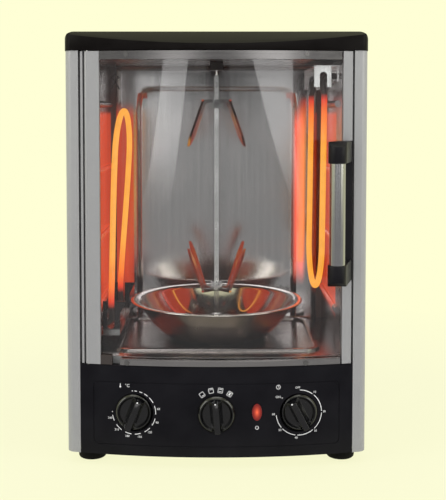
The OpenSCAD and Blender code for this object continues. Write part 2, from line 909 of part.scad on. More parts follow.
// Hairpin element: ends along -X, legs that rise and lean towards +X, and a round bend at the top
module hairpin(leg, lean) {
    rotate([0, lean_angle(leg, lean), 0]) {
        for (s = [-1, 1]) translate([0, s * hairpin_r, 0]) cylinder(r = element_r, h = leg);
        translate([0, 0, leg]) rotate([90, 0, 90]) rotate_extrude(angle = 180)
            translate([hairpin_r, 0]) circle(element_r);
        for (s = [-1, 1]) translate([-elbow_r, s * hairpin_r, 0]) {
            rotate([-90, 0, 0]) rotate_extrude(angle = 90) translate([elbow_r, 0]) circle(element_r);
            translate([-element_tail, 0, -elbow_r]) rotate([0, 90, 0])
                cylinder(r = element_r, h = element_tail);
        }
    }
}

// Places of the two elements; the right one hangs upside down
module at_left_element() {
    translate([-element_x, element_y, left_end_z + elbow_r]) children();
}

module at_right_element() {
    translate([element_x, element_y, right_end_z - elbow_r]) rotate([0, 180, 0]) children();
}

module left_heating_element() {
    color(hot) at_left_element() hairpin(left_leg, left_lean);
}

module right_heating_element() {
    color(hot) at_right_element() hairpin(right_leg, right_lean);
}

// Studs and tabs on an element's two ends
module end_tabs(leg, lean) {
    rotate([0, lean_angle(leg, lean), 0]) for (s = [-1, 1])
        translate([-elbow_r - element_tail, s * hairpin_r, -elbow_r]) {
        translate([-stud_l, 0, 0]) rotate([0, 90, 0]) cylinder(r = stud_r, h = stud_l);
        translate([-stud_l - tab_l, -tab_t / 2, -tab_w / 2]) cube([tab_l, tab_t, tab_w]);
    }
}

module element_terminals() {
    color(brassy) {
        at_left_element() end_tabs(left_leg, left_lean);
        at_right_element() end_tabs(right_leg, right_lean);
    }
}

// Sheet cradle round an element's ends: X from the wall inwards, Z from its shelf
module cradle(tall, lift, wing) {
    half = hairpin_r + cradle_end;
    difference() {
        union() {
            translate([0, -half, 0]) cube([cradle_w, 2 * half, bracket_t]);
            translate([0, -half, 0]) cube([bracket_t, 2 * half, cradle_web_h]);
            for (y = [-half, half - bracket_t]) in_xz(y, y + bracket_t) {
                translate([cradle_front_x, 0]) square([cradle_w - cradle_front_x, tall]);
                if (wing > 0)
                    polygon([[cradle_w - over, tall - wing_h], [cradle_w + wing * wing_w, tall],
                        [cradle_w - over, tall]]);
            }
        }
        for (s = [-1, 1]) translate([-over, s * hairpin_r, cradle_drop + lift]) rotate([0, 90, 0])
            cylinder(r = element_r + part_gap, h = bracket_t + 2 * over);
        in_xz(-half - over, half + over) translate([element_off, cradle_drop]) {
            circle(cradle_slot_r);
            translate([-cradle_slot_r, 0]) square([2 * cradle_slot_r, tall]);
        }
    }
}

module left_element_bracket() {
    color(bright) translate([-cav_x, element_y, left_end_z - cradle_drop])
        cradle(cradle_left_h, tail_lift(left_leg, left_lean), 1);
}

module right_element_bracket() {
    color(bright) translate([cav_x, element_y, right_end_z + cradle_drop])
        rotate([0, 180, 0]) cradle(cradle_right_h, tail_lift(right_leg, right_lean), 0);
}

// Wire through a list of points
module wire(points, r) {
    for (i = [0 : len(points) - 2]) hull() {
        translate(points[i]) sphere(r, $fn = wire_sides);
        translate(points[i + 1]) sphere(r, $fn = wire_sides);
    }
}

// Outline of a thin wire through a list of points
module bent_line(points) {
    for (i = [0 : len(points) - 2]) {
        run = points[i + 1] - points[i];
        translate(points[i]) rotate(atan2(run.y, run.x)) translate([0, -hook_r])
            square([norm(run), 2 * hook_r]);
    }
    for (p = points) translate(p) square(2 * hook_joint, center = true);
}

// Bent wire that hangs from the ceiling beside the left element
module element_wire_hook() {
    drop = hook_size * 3;
    eye = drop + 2 * hook_size;
    color(dark) in_xz(element_y - hook_r, element_y + hook_r) translate([-element_x, ceiling_z - hook_joint]) {
        bent_line([[0, 0], [0, -drop], [-hook_size, -drop - hook_size], [0, -eye],
            [hook_size, -eye - 2 * hook_size]]);
        bent_line([[0, -drop], [hook_size, -drop - hook_size], [0, -eye],
            [-hook_size, -eye - 2 * hook_size]]);
    }
}

module top_bearing_block() {
    color(dark) translate([0, spit_y, ceiling_z - block_h]) difference() {
        translate([-block_w / 2, -block_w / 2, 0]) cube([block_w, block_w, block_h]);
        translate([0, 0, -over]) cylinder(r = spit_pin_r + run_gap, h = block_h + 2 * over);
    }
}

module motor_housing() {
    color(steel) translate([0, spit_y, motor_z1 - motor_h]) difference() {
        union() {
            cylinder(r = motor_r, h = motor_h);
            translate([0, -motor_plug_w / 2, 0]) cube([motor_r + motor_plug_l, motor_plug_w, motor_plug_h]);
        }
        translate([0, 0, motor_h - motor_bore_d]) cylinder(r = spindle_r + run_gap, h = motor_bore_d + over);
    }
}

// Places of the motor bracket's screws, at the underside of the cavity's floor
module bracket_screw_places(z) {
    for (sx = [-1, 1]) translate([sx * (bracket_w / 2 + machine_head_r + bracket_t), spit_y, z]) children();
}

module motor_bracket() {
    top = floor_z - sheet_t;
    w = bracket_w / 2;
    color(bright) difference() {
        in_xz(spit_y - bracket_d / 2, spit_y + bracket_d / 2) {
            translate([-w, motor_z1]) square([bracket_w, bracket_t]);
            for (s = [-1, 1]) {
                translate([s > 0 ? w - bracket_t : -w, motor_z1]) square([bracket_t, top - motor_z1]);
                translate([s > 0 ? w - bracket_t : -w - bracket_wing, top - bracket_t])
                    square([bracket_wing + bracket_t, bracket_t]);
            }
        }
        translate([0, spit_y, motor_z1 - over])
            cylinder(r = spindle_r + bracket_clear, h = bracket_t + 2 * over);
        bracket_screw_places(top - bracket_t - over)
            cylinder(r = machine_r + seam, h = bracket_t + 2 * over);
    }
}

module spindle_bush() {
    color(brassy) translate([0, spit_y, 0]) difference() {
        union() {
            translate([0, 0, floor_z]) cylinder(r = bush_flange_r, h = bush_flange_h);
            translate([0, 0, floor_z - bush_len]) cylinder(r = bush_r, h = bush_len);
        }
        translate([0, 0, floor_z - bush_len - over])
            cylinder(r = spindle_r + run_gap, h = bush_len + bush_flange_h + 2 * over);
    }
}

// Machine screws of the feet, the motor's bracket and the control plate
module machine_screws() {
    color(bright) {
        foot_places(foot_h / 2) {
            translate([0, 0, -machine_head_h]) cylinder(r = machine_head_r, h = machine_head_h);
            cylinder(r = machine_r, h = foot_h / 2 + base_t + machine_head_h);
        }
        bracket_screw_places(floor_z - sheet_t - bracket_t - machine_head_h) {
            cylinder(r = machine_head_r, h = machine_head_h);
            cylinder(r = machine_r, h = machine_head_h + bracket_t + sheet_t);
        }
        plate_screw_places(foot_h) {
            cylinder(r = machine_r, h = base_t + bracket_t + machine_head_h);
            translate([0, 0, base_t + bracket_t]) cylinder(r = machine_head_r, h = machine_head_h);
        }
    }
}

// Places of the screws that hold the control plate's foot
module plate_screw_places(z) {
    for (sx = [-1, 1])
        translate([sx * knob_pitch / 2, front_y + plate_in + plate_foot / 2 + bracket_t, z]) children();
}

// Upright plate that carries the controls, with a foot on the base plate
module control_plate() {
    y0 = front_y + plate_in;
    z1 = fascia_top - plate_top_gap;
    color(bright) difference() {
        union() {
            in_xz(y0, y0 + bracket_t) translate([-plate_x, foot_h + base_t])
                square([2 * plate_x, z1 - foot_h - base_t]);
            rise(foot_h + base_t, foot_h + base_t + bracket_t)
                translate([-plate_x, y0]) square([2 * plate_x, plate_foot]);
        }
        for (x = [-knob_pitch, 0, knob_pitch])
            translate([x, 0, knob_z]) bar_y(collar_r + seam, y0 - over, y0 + bracket_t + over);
        in_xz(y0 - over, y0 + bracket_t + over) translate([lamp_x, lamp_z])
            square([lamp_body_w + 2 * lamp_clear, lamp_body_h + 2 * lamp_clear], center = true);
        plate_screw_places(foot_h) cylinder(r = machine_r + seam, h = base_t + bracket_t + over);
    }
}

// Collar and bore that carry a knob's shaft
module shaft_collar(x) {
    y0 = front_y + plate_in;
    translate([x, 0, knob_z]) bar_y(collar_r, y0 - collar_l, y0 + bracket_t + seam);
}

module shaft_bore(x) {
    y1 = front_y + plate_in + bracket_t;
    translate([x, 0, knob_z]) bar_y(bore_r, front_y - over, y1 + shaft_in + part_gap);
}

module control_block(x, w, h, d) {
    y1 = front_y + plate_in + bracket_t;
    difference() {
        union() {
            in_xz(y1, y1 + d) translate([x - w / 2, knob_z - h / 2]) square([w, h]);
            shaft_collar(x);
        }
        shaft_bore(x);
    }
}

module thermostat_body() {
    color(brassy) control_block(-knob_pitch, thermostat_w, thermostat_h, thermostat_d);
}

module function_switch_body() {
    color("#e9e4d4") control_block(0, switch_w, switch_w, switch_d);
}

module timer_body() {
    color(bright) control_block(knob_pitch, timer_w, timer_h, timer_d);
}

// Lens of the lamp, standing out of the fascia
module lamp_lens() {
    color("#e8341c") intersection() {
        in_xz(front_y - lamp_proud, front_y + shell_t * 2) translate([lamp_x, lamp_z]) lamp_outline(0);
        bow_band(-lamp_proud, shell_t * 3, 0, half_w, foot_h, fascia_top);
    }
}

module lamp_body() {
    y0 = front_y + shell_t * 2;
    color(dark) in_xz(y0, y0 + lamp_body_d) translate([lamp_x, lamp_z])
        square([lamp_body_w, lamp_body_h], center = true);
}

module cord_gland() {
    color(dark) translate([gland_x, 0, gland_z]) difference() {
        union() {
            bar_y(gland_r, back_y, back_y + gland_lip);
            bar_y(gland_r - gland_lip - seam / 2, back_y + gland_lip - gland_len, back_y);
            bar_y(gland_r, back_y - sheet_t - gland_lip * 2, back_y - sheet_t - seam);
        }
        bar_y(gland_bore_r, back_y + gland_lip - gland_len - over, back_y + gland_lip + over);
    }
}

// Screw terminals on the base plate, behind the gland
module terminal_block() {
    x0 = gland_x + block_step;
    y0 = back_y - block_len;
    color("#e9e4d4") difference() {
        translate([x0, y0, foot_h + base_t]) cube([block_len, block_deep, block_tall]);
        for (i = [1 : block_ways])
            translate([x0 + i * block_len / (block_ways + 1), y0 + block_deep / 2, foot_h + base_t])
                translate([0, 0, block_tall / 2]) cylinder(r = machine_r, h = block_tall);
    }
}

// Insulated wires from the elements' tabs to the terminal block
module wiring() {
    tab_x = element_x + elbow_r + element_tail + stud_l + tab_l;
    start_x = tab_x + wire_r + part_gap * 2;
    drop_x = (tab_x + half_w - sheet_t) / 2;
    block_x = gland_x + block_step;
    block_y = back_y - block_len;
    block_z = foot_h + base_t + block_tall + wire_r;
    low = foot_h + fascia_h / 2;
    color(copper) for (i = [0 : 3]) {
        side = i < 2 ? -1 : 1;
        y = element_y + (i % 2 == 0 ? -1 : 1) * hairpin_r;
        end_z = side < 0 ? left_end_z : right_end_z;
        lane = low + i * wire_lane;
        goal_x = block_x + (side < 0 ? i + 1 : block_ways + 2 - i) * block_len / (block_ways + 1);
        goal_y = block_y + block_deep / 2;
        wire([[side * start_x, y, end_z], [side * drop_x, y, end_z], [side * drop_x, y, lane],
            [side * drop_x, cav_y, lane], [goal_x, cav_y, lane], [goal_x, goal_y, lane],
            [goal_x, goal_y, block_z]], wire_r);
    }
}

// Catch magnet on the frame, behind the handle-side stile
module door_magnet() {
    z0 = door_z0 + magnet_rise;
    color(dark) bow_band(door_t + part_gap, frame_in, right_in + magnet_side, door_x1 - magnet_side,
        z0, z0 + magnet_h);
}

module door_strike_plate() {
    z0 = door_z0 + magnet_rise;
    color(bright) bow_band(door_t - strike_t, door_t, right_in + magnet_side, door_x1 - magnet_side,
        z0, z0 + magnet_h);
}

module door_glass() {
    color("#cfd8dc", 0.35) bow_band(glass_in, glass_in + glass_t, left_in - glass_grip,
        right_in + glass_grip, glass_z0, glass_z1);
}

// Groove for the glass's edge
module glass_groove() {
    bow_band(glass_in - seam, glass_in + glass_t + seam, left_in - glass_grip - seam,
        right_in + glass_grip + seam, glass_z0 - seam, glass_z1 + seam);
}

// Hole of a door screw through a rail
module door_screw_places() {
    for (x = [-door_screw_x, door_screw_x], z = [screw_low, screw_high]) on_bow(x, 0, z) children();
}

module rail(x0, x1, z0, z1, line_z) {
    color(bright) difference() {
        bow_band(0, door_t, x0, x1, z0, z1);
        glass_groove();
        door_screw_places() {
            bar_y(door_screw_r + seam / 2, -over, door_t + over);
            bar_y(door_screw_head_r + seam, -over, screw_head_in);
        }
        bow_band(-over, rail_line_d, x0 - over, x1 + over, line_z, line_z + rail_line_t);
    }
}

module door_top_rail() {
    rail(left_in, rail_end, door_z1 - top_rail_h, door_z1, door_z1 - top_rail_h / 2);
}

module door_bottom_rail() {
    rail(left_in + corner_gap, rail_end, door_z0, door_z0 + bottom_rail_h, door_z0 + bottom_line_rise);
}

module door_screws() {
    color(bright) door_screw_places() {
        bar_y(door_screw_r, 0, door_screw_len);
        bar_y(door_screw_head_r, screw_head_in - screw_head_h, screw_head_in);
    }
}

module hinge_pin_holes() {
    translate([hinge_x, hinge_y, door_z0 - over])
        cylinder(r = pin_r + seam / 4, h = pin_len - pin_out - door_gap + over);
    translate([hinge_x, hinge_y, door_z1 - pin_len + pin_out + door_gap])
        cylinder(r = pin_r + seam / 4, h = pin_len);
}

module door_left_stile() {
    color(steel) difference() {
        union() {
            bow_band(0, door_t, hinge_x, left_in, door_z0, door_z1);
            translate([hinge_x, hinge_y, door_z0]) cylinder(r = barrel_r, h = door_z1 - door_z0);
        }
        glass_groove();
        hinge_pin_holes();
    }
}

module hinge_pins() {
    color(bright) {
        translate([hinge_x, hinge_y, fascia_top - pin_out]) cylinder(r = pin_r, h = pin_len);
        translate([hinge_x, hinge_y, cap_z + pin_out - pin_len]) cylinder(r = pin_r, h = pin_len);
    }
}

module door_right_stile() {
    z0 = door_z0 + magnet_rise;
    color(steel) difference() {
        bow_band(0, door_t, right_in, door_x1, door_z0, door_z1);
        glass_groove();
        bow_band(door_t - strike_t, door_t + over, right_in + magnet_side - seam,
            door_x1 - magnet_side + seam, z0 - seam, z0 + magnet_h + seam);
    }
}

module glass_corner_block() {
    color(dark) difference() {
        bow_band(0, door_t, left_in, left_in + corner_block_w, door_z0, door_z0 + corner_block_h);
        glass_groove();
    }
}

module handle_back_plate() {
    color(dark) bow_band(-back_plate_t, -seam / 2, right_in, door_x1, handle_z0, handle_z1);
}

// Outline of a handle end piece from above: a round nose that widens towards the door
module end_outline() {
    translate([grip_x, grip_y]) circle(end_r);
    polygon([[grip_x - end_r, grip_y], [grip_x + end_r, grip_y], [door_x1, front_y + end_foot_w],
        [door_x1 - end_foot_w, front_y + end_foot_w]]);
}

module handle_end_pieces() {
    bevel_y = grip_y - end_r;
    color(dark) for (top = [0, 1]) translate([0, 0, top > 0 ? handle_z1 : handle_z0])
        mirror([0, 0, top]) difference() {
            rise(0, end_piece_h) difference() {
                end_outline();
                bow_disc(-back_plate_t - seam / 2);
            }
            translate([grip_x, grip_y, end_piece_h - grip_socket])
                cylinder(r = grip_r + seam / 2, h = grip_socket + over);
            in_yz(grip_x - end_r - over, door_x1 + over) polygon([[bevel_y - over, -over],
                [bevel_y + end_piece_bevel * 2, -over], [bevel_y + end_piece_bevel * 2, 0],
                [bevel_y, end_piece_bevel], [bevel_y - over, end_piece_bevel]]);
        }
}

module handle_tube() {
    z0 = handle_z0 + end_piece_h - grip_socket;
    color(steel) translate([grip_x, grip_y, z0]) difference() {
        cylinder(r = grip_r, h = handle_len - 2 * (end_piece_h - grip_socket));
        translate([0, 0, -over]) cylinder(r = grip_r - grip_wall, h = handle_len);
    }
}

// Knob: a skirt, a shallow bowl and a grip with hollow sides, turned to an angle
module knob(x, turn) {
    y0 = front_y + dish_depth(x) - part_gap * 2;
    hollow = fin_w / 2 + scoop_r;
    low = skirt_h - knob_bowl_d;
    color(dark) translate([x, y0, knob_z]) rotate([0, turn, 0]) rotate([90, 0, 0]) difference() {
        union() {
            rotate_extrude() polygon([[0, 0], [knob_r, 0], [knob_r, skirt_h / 2], [knob_face_r, skirt_h],
                [knob_face_r - skirt_lip, skirt_h], [knob_face_r - knob_bowl_d - skirt_lip, low],
                [0, low]]);
            intersection() {
                cylinder(r1 = knob_face_r, r2 = knob_face_r - knob_bowl_d, h = knob_h);
                difference() {
                    translate([-knob_r, -knob_r, low / 2]) cube([2 * knob_r, 2 * knob_r, knob_h - low / 2]);
                    for (s = [-1, 1]) translate([s * hollow, knob_r + over, knob_h]) rotate([90, 0, 0])
                        cylinder(r = scoop_r, h = 2 * (knob_r + over), $fn = scoop_fn);
                    for (s = [-1, 1]) translate([s * (knob_r + fin_foot_w / 2), 0, low + knob_h / 2])
                        cube([2 * knob_r, 2 * (knob_r + over), knob_h], center = true);
                }
            }
        }
        translate([0, 0, -over]) cylinder(r = knob_hole, h = shaft_grip + over);
    }
}

// Shaft from a control's bore into its knob
module shaft(x) {
    y0 = front_y + dish_depth(x) - part_gap - shaft_grip;
    y1 = front_y + plate_in + bracket_t + shaft_in;
    color(bright) translate([x, 0, knob_z]) bar_y(shaft_r, y0, y1);
}

module temperature_knob() {
    knob(-knob_pitch, temperature_turn);
}

module function_knob() {
    knob(0, function_turn);
}

module timer_knob() {
    knob(knob_pitch, timer_turn);
}

module temperature_shaft() {
    shaft(-knob_pitch);
}

module function_shaft() {
    shaft(0);
}

module timer_shaft() {
    shaft(knob_pitch);
}

module drive_spindle() {
    head_z = spindle_top - spindle_head_h;
    color(bright) translate([0, spit_y, 0]) difference() {
        union() {
            translate([0, 0, spindle_z0]) cylinder(r = spindle_r, h = head_z - spindle_z0);
            translate([0, 0, head_z]) cylinder(r = spindle_head_r, h = spindle_head_h);
        }
        translate([-socket_w / 2, -socket_w / 2, spindle_top - socket_d])
            cube([socket_w, socket_w, socket_d + over]);
    }
}

module spit() {
    color(bright) translate([0, spit_y, 0]) {
        translate([-spit_half, -spit_half, spit_z0]) cube([spit_w, spit_w, spit_z1 - spit_z0]);
        translate([0, 0, spit_z1]) cylinder(r = spit_pin_r, h = pin_z1 - spit_z1);
    }
}

// Outline of one arm and its tine from the side, starting on the spit's axis
module tine_outline() {
    up = [sin(tine_slope), cos(tine_slope)];
    side = [cos(tine_slope), -sin(tine_slope)];
    heel = [fork_arm, tine_t];
    polygon([[fork_hub_w / 4, 0], [fork_arm + tine_t, 0], heel + side * tine_t,
        heel + up * (tine_len - tine_tip) + side * tine_t, heel + up * tine_len + side * tine_t / 2,
        heel + up * (tine_len - tine_tip), heel, [fork_hub_w / 4, tine_t]]);
}

// Fork with flat tines that rise and spread from its hub
module fork() {
    difference() {
        union() {
            translate([-fork_hub_w / 2, -fork_hub_w / 2, 0]) cube([fork_hub_w, fork_hub_w, fork_hub_h]);
            for (a = tine_turns) rotate([0, 0, a]) in_xz(-tine_w / 2, tine_w / 2) tine_outline();
        }
        translate([-fork_hole / 2, -fork_hole / 2, -over])
            cube([fork_hole, fork_hole, fork_hub_h + 2 * over]);
        translate([0, 0, fork_screw_rise]) bar_y(fork_screw_r + run_gap, -fork_hub_w, 0);
    }
}

module lower_fork() {
    color(bright) translate([0, spit_y, lower_fork_z]) fork();
}

module upper_fork() {
    color(bright) translate([0, spit_y, upper_fork_z + fork_hub_h]) mirror([0, 0, 1]) fork();
}

// Knurled screw that clamps a fork, from the front
module fork_screw(z) {
    tip_y = -fork_hole / 2;
    face_y = -fork_hub_w / 2 - part_gap;
    color(bright) translate([0, spit_y, z]) {
        bar_y(fork_screw_r, face_y, tip_y);
        difference() {
            bar_y(fork_screw_head_r, face_y - fork_screw_head_l, face_y);
            for (i = [0 : knurls - 1]) rotate([0, i * 360 / knurls, 0])
                translate([fork_screw_head_r + knurl_out, 0, 0])
                    bar_y(knurl_r, face_y - fork_screw_head_l - over, face_y + over);
        }
    }
}

module lower_fork_screw() {
    fork_screw(lower_fork_z + fork_screw_rise);
}

module upper_fork_screw() {
    fork_screw(upper_fork_z + fork_hub_h - fork_screw_rise);
}

// Point on the pan's side, a quarter ellipse from the flat bottom to the rim, moved in by the steel
function pan_side(share, inset) =
    let(a = 90 * share, w = pan_r - pan_rim_r + pan_t / 2 - pan_flat_r, h = pan_h - pan_rim_r)
    [pan_flat_r + (w - inset) * sin(a), h - (h - inset) * cos(a)];

module drip_pan() {
    inside = [for (i = [0 : pan_steps]) pan_side(i / pan_steps, pan_t)];
    outside = [for (i = [pan_steps : -1 : 0]) pan_side(i / pan_steps, 0)];
    color(bright) translate([0, spit_y, pan_z]) {
        rotate_extrude($fn = pan_fn) polygon(concat(
            [[pan_hole_r, pan_hub_h - pan_t], [pan_hole_r, pan_hub_h], [pan_hole_r + pan_t * 2, pan_hub_h],
                [pan_hub_r, pan_t]],
            inside, outside,
            [[pan_hub_r - pan_t, 0], [pan_hole_r + pan_t, pan_hub_h - pan_t]]));
        rotate_extrude($fn = pan_fn) translate([pan_r - pan_rim_r, pan_h - pan_rim_r])
            circle(pan_rim_r, $fn = fine_fn);
    }
}

left_side_panel();
right_side_panel();
back_cover();
top_cap();
base_plate();
feet();
casing_screws();
front_frame();
control_fascia();
cavity_left_wall();
cavity_right_wall();
cavity_back_wall();
cavity_ceiling();
cavity_floor();
left_heating_element();
right_heating_element();
left_element_bracket();
right_element_bracket();
element_terminals();
element_wire_hook();
top_bearing_block();
motor_housing();
motor_bracket();
spindle_bush();
machine_screws();
control_plate();
thermostat_body();
function_switch_body();
timer_body();
lamp_lens();
lamp_body();
cord_gland();
terminal_block();
wiring();
door_magnet();
door_glass();
door_top_rail();
door_bottom_rail();
door_left_stile();
door_right_stile();
glass_corner_block();
door_screws();
hinge_pins();
door_strike_plate();
handle_back_plate();
handle_end_pieces();
handle_tube();
temperature_knob();
temperature_shaft();
function_knob();
function_shaft();
timer_knob();
timer_shaft();
drive_spindle();
spit();
lower_fork();
upper_fork();
lower_fork_screw();
upper_fork_screw();
drip_pan();
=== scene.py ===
# %% [markdown]
# # An upright spit grill
# A tall table grill with a bowed glass door. Behind the glass a spit turns between two glowing hairpin
# elements, over a steel pan. Sheet metal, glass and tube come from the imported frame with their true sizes.
# This script gives them their finishes, makes the soft, twisted and spun forms, and prints the dials.

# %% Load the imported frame
import math

import bmesh
import bpy
import numpy as np
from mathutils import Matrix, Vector
from mathutils.bvhtree import BVHTree


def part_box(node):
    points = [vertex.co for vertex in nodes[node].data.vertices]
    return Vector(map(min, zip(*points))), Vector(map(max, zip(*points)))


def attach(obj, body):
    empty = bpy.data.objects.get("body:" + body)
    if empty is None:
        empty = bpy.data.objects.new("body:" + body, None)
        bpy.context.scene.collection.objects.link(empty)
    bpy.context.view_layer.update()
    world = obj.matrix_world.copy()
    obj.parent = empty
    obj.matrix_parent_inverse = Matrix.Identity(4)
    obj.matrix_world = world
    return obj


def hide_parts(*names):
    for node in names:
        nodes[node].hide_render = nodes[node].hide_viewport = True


MM = 0.001
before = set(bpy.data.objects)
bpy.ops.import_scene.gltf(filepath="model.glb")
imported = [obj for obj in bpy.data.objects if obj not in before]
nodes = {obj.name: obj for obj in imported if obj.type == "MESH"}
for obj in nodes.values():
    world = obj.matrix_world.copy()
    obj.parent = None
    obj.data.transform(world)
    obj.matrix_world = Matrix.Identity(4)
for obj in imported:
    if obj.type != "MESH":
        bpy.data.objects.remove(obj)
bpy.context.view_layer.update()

# %% [markdown]
# ## The camera
# The photograph was taken from straight in front, a little over a metre away and level with the upper part
# of the door. A lens shift keeps the sides upright, as in a product photograph. A small tilt takes over
# part of the shift, and place and lens are those that leave less than a pixel of error on average.

# %% Camera
CAMERA_PLACE = (0.0009, -1.1049, 0.3744)
LENS = 69.22
TILT = math.radians(3.0)
SHIFT = (0.0114, -0.172)
NEAREST = 0.05

camera = bpy.data.objects.new("camera", bpy.data.cameras.new("camera"))
bpy.context.scene.collection.objects.link(camera)
camera.location = CAMERA_PLACE
camera.rotation_euler = (math.pi / 2 - TILT, 0, 0)
camera.data.lens = LENS
camera.data.shift_x, camera.data.shift_y = SHIFT
camera.data.clip_start = NEAREST
bpy.context.scene.camera = camera
bpy.context.scene.view_settings.view_transform = "Standard"
print("camera:", LENS, "mm lens, tilt", round(math.degrees(TILT), 1), "degrees")

# %% [markdown]
# ## Node materials in a few lines
# Every finish is a Principled shader with patterns worked out from Object coordinates, so nothing slides
# and no picture file is needed. Four helpers start a material, add a node, join two sockets and do a sum.

# %% Shader helpers
def start(name, colour, rough, metal=0.0, **sockets):
    """A new material: its Principled shader with plain values on the shader's own sockets."""
    mat = bpy.data.materials.new(name)
    mat.use_nodes = True
    shader = mat.node_tree.nodes["Principled BSDF"]
    shader.inputs["Base Color"].default_value = (*colour, 1)
    shader.inputs["Metallic"].default_value = metal
    shader.inputs["Roughness"].default_value = rough
    for socket, value in sockets.items():
        shader.inputs[socket.replace("_", " ")].default_value = value
    return mat, shader


def add(mat, kind, **values):
    """A new node of a kind, with its plain inputs and properties set by name."""
    node = mat.node_tree.nodes.new(kind)
    for name, value in values.items():
        if name in node.inputs:
            node.inputs[name].default_value = value
        else:
            setattr(node, name, value)
    return node


def wire(mat, a, b):
    """Joins an output socket to an input socket."""
    mat.node_tree.links.new(a, b)


def reckon(mat, operation, *values, kind="ShaderNodeMath"):
    """Result of a Math or Vector Math node: each value is a number, a row of numbers or a node's output."""
    node = add(mat, kind, operation=operation)
    for socket, value in zip(node.inputs, values):
        if isinstance(value, bpy.types.NodeSocket):
            wire(mat, value, socket)
        else:
            socket.default_value = value
    return node.outputs[0]


print("helpers: start, add, wire, reckon")

# %% [markdown]
# ## Patterns
# A pattern is a number that changes from place to place: noise, which becomes brush lines where one axis
# has a low scale, or a place's own X, Y or Z. Spread over a range, it drives a roughness, a colour or a
# bump.

# %% Pattern helpers
def grain(mat, scale, stretch=(1, 1, 1), detail=3.0):
    """Noise on Object coordinates, stretched per axis: high numbers give fine grain along that axis."""
    place = add(mat, "ShaderNodeTexCoord")
    size = add(mat, "ShaderNodeMapping", Scale=stretch)
    noise = add(mat, "ShaderNodeTexNoise", Scale=scale, Detail=detail)
    wire(mat, place.outputs["Object"], size.inputs["Vector"])
    wire(mat, size.outputs["Vector"], noise.inputs["Vector"])
    return noise.outputs["Fac"]


def axes(mat):
    """The object's X, Y and Z at each place, as outputs of one node."""
    place = add(mat, "ShaderNodeTexCoord")
    split = add(mat, "ShaderNodeSeparateXYZ")
    wire(mat, place.outputs["Object"], split.inputs[0])
    return split.outputs


def spread(mat, value, low, high, start_at=0.3, end_at=0.7, **how):
    """Maps a value from one range to another, in a straight line or as told, and keeps it inside."""
    node = add(mat, "ShaderNodeMapRange", **how)
    for name, v in (("From Min", start_at), ("From Max", end_at), ("To Min", low), ("To Max", high)):
        node.inputs[name].default_value = v
    wire(mat, value, node.inputs["Value"])
    return node.outputs["Result"]


def colour_mix(mat, value, first, second):
    """A colour between two, by a value from 0 to 1: each colour is three numbers or another node's output."""
    node = add(mat, "ShaderNodeMix", data_type="RGBA")
    sockets = [s for s in node.inputs if s.type == "RGBA"]
    for socket, colour in zip(sockets, (first, second)):
        if isinstance(colour, bpy.types.NodeSocket):
            wire(mat, colour, socket)
        else:
            socket.default_value = (*colour, 1)
    wire(mat, value, node.inputs["Factor"])
    return [s for s in node.outputs if s.type == "RGBA"][0]


def bump(mat, shader, height, strength, depth):
    """A bump of a real depth in metres from a height between 0 and 1."""
    node = add(mat, "ShaderNodeBump", Strength=strength, Distance=depth)
    wire(mat, height, node.inputs["Height"])
    wire(mat, node.outputs["Normal"], shader.inputs["Normal"])


def shade(colour, times, plus=0.0):
    """A colour times a factor, with a little added."""
    return tuple(c * times + plus for c in colour)


print("helpers: grain, axes, spread, colour_mix, bump, shade")

# %% [markdown]
# ## Silver paint
# The side panels and stiles are painted an even silver grey with a soft sheen. Close to, the paint shows
# fine flakes and an orange peel that breaks up the highlights: noise in the colour, and noise in the bump.

# %% Silver paint
SILVER = (0.36, 0.36, 0.36)


def silver_paint(name, colour, rough):
    """Silver paint: fine flakes in the colour, and a faint orange peel."""
    mat, shader = start(name, colour, rough, 0.1, Coat_Weight=0.1, Coat_Roughness=0.3)
    flakes = spread(mat, grain(mat, 2600, detail=1.0), 0, 1)
    wire(mat, colour_mix(mat, flakes, shade(colour, 0.92), shade(colour, 1.08)), shader.inputs["Base Color"])
    wire(mat, spread(mat, grain(mat, 60), rough - 0.05, rough + 0.06), shader.inputs["Roughness"])
    bump(mat, shader, grain(mat, 900), 0.12, 0.02 * MM)
    return mat


panel_paint = silver_paint("panel_paint", SILVER, 0.42)
stile_paint = silver_paint("stile_paint", SILVER, 0.36)
print("paints: 2, grey", SILVER[0])

# %% [markdown]
# ## Brushed steel
# The cavity and the rails are bare brushed steel, so their grain runs one way and their reflections smear
# across it. One function makes each kind of steel, with the brush direction as its argument.

# %% Brushed steel
def brushed(name, colour, along, rough, lines=420, smear=0.03, relief=0.10):
    """Brushed steel: noise with a 50 times longer grain along one axis, in colour, roughness and bump. Wide
    stains are added to the roughness."""
    stretch = [1.0, 1.0, 1.0]
    stretch["xyz".index(along)] = 0.02
    mat, shader = start(name, colour, rough, 1.0, Anisotropic=0.35)
    strokes = grain(mat, lines, stretch)
    stains = spread(mat, grain(mat, 14), -0.04, 0.05)
    wire(mat, colour_mix(mat, spread(mat, strokes, 0, 1), shade(colour, 0.93), colour),
         shader.inputs["Base Color"])
    wire(mat, reckon(mat, "ADD", spread(mat, strokes, rough - smear, rough + smear), stains),
         shader.inputs["Roughness"])
    bump(mat, shader, strokes, relief, 0.005 * MM)
    return mat


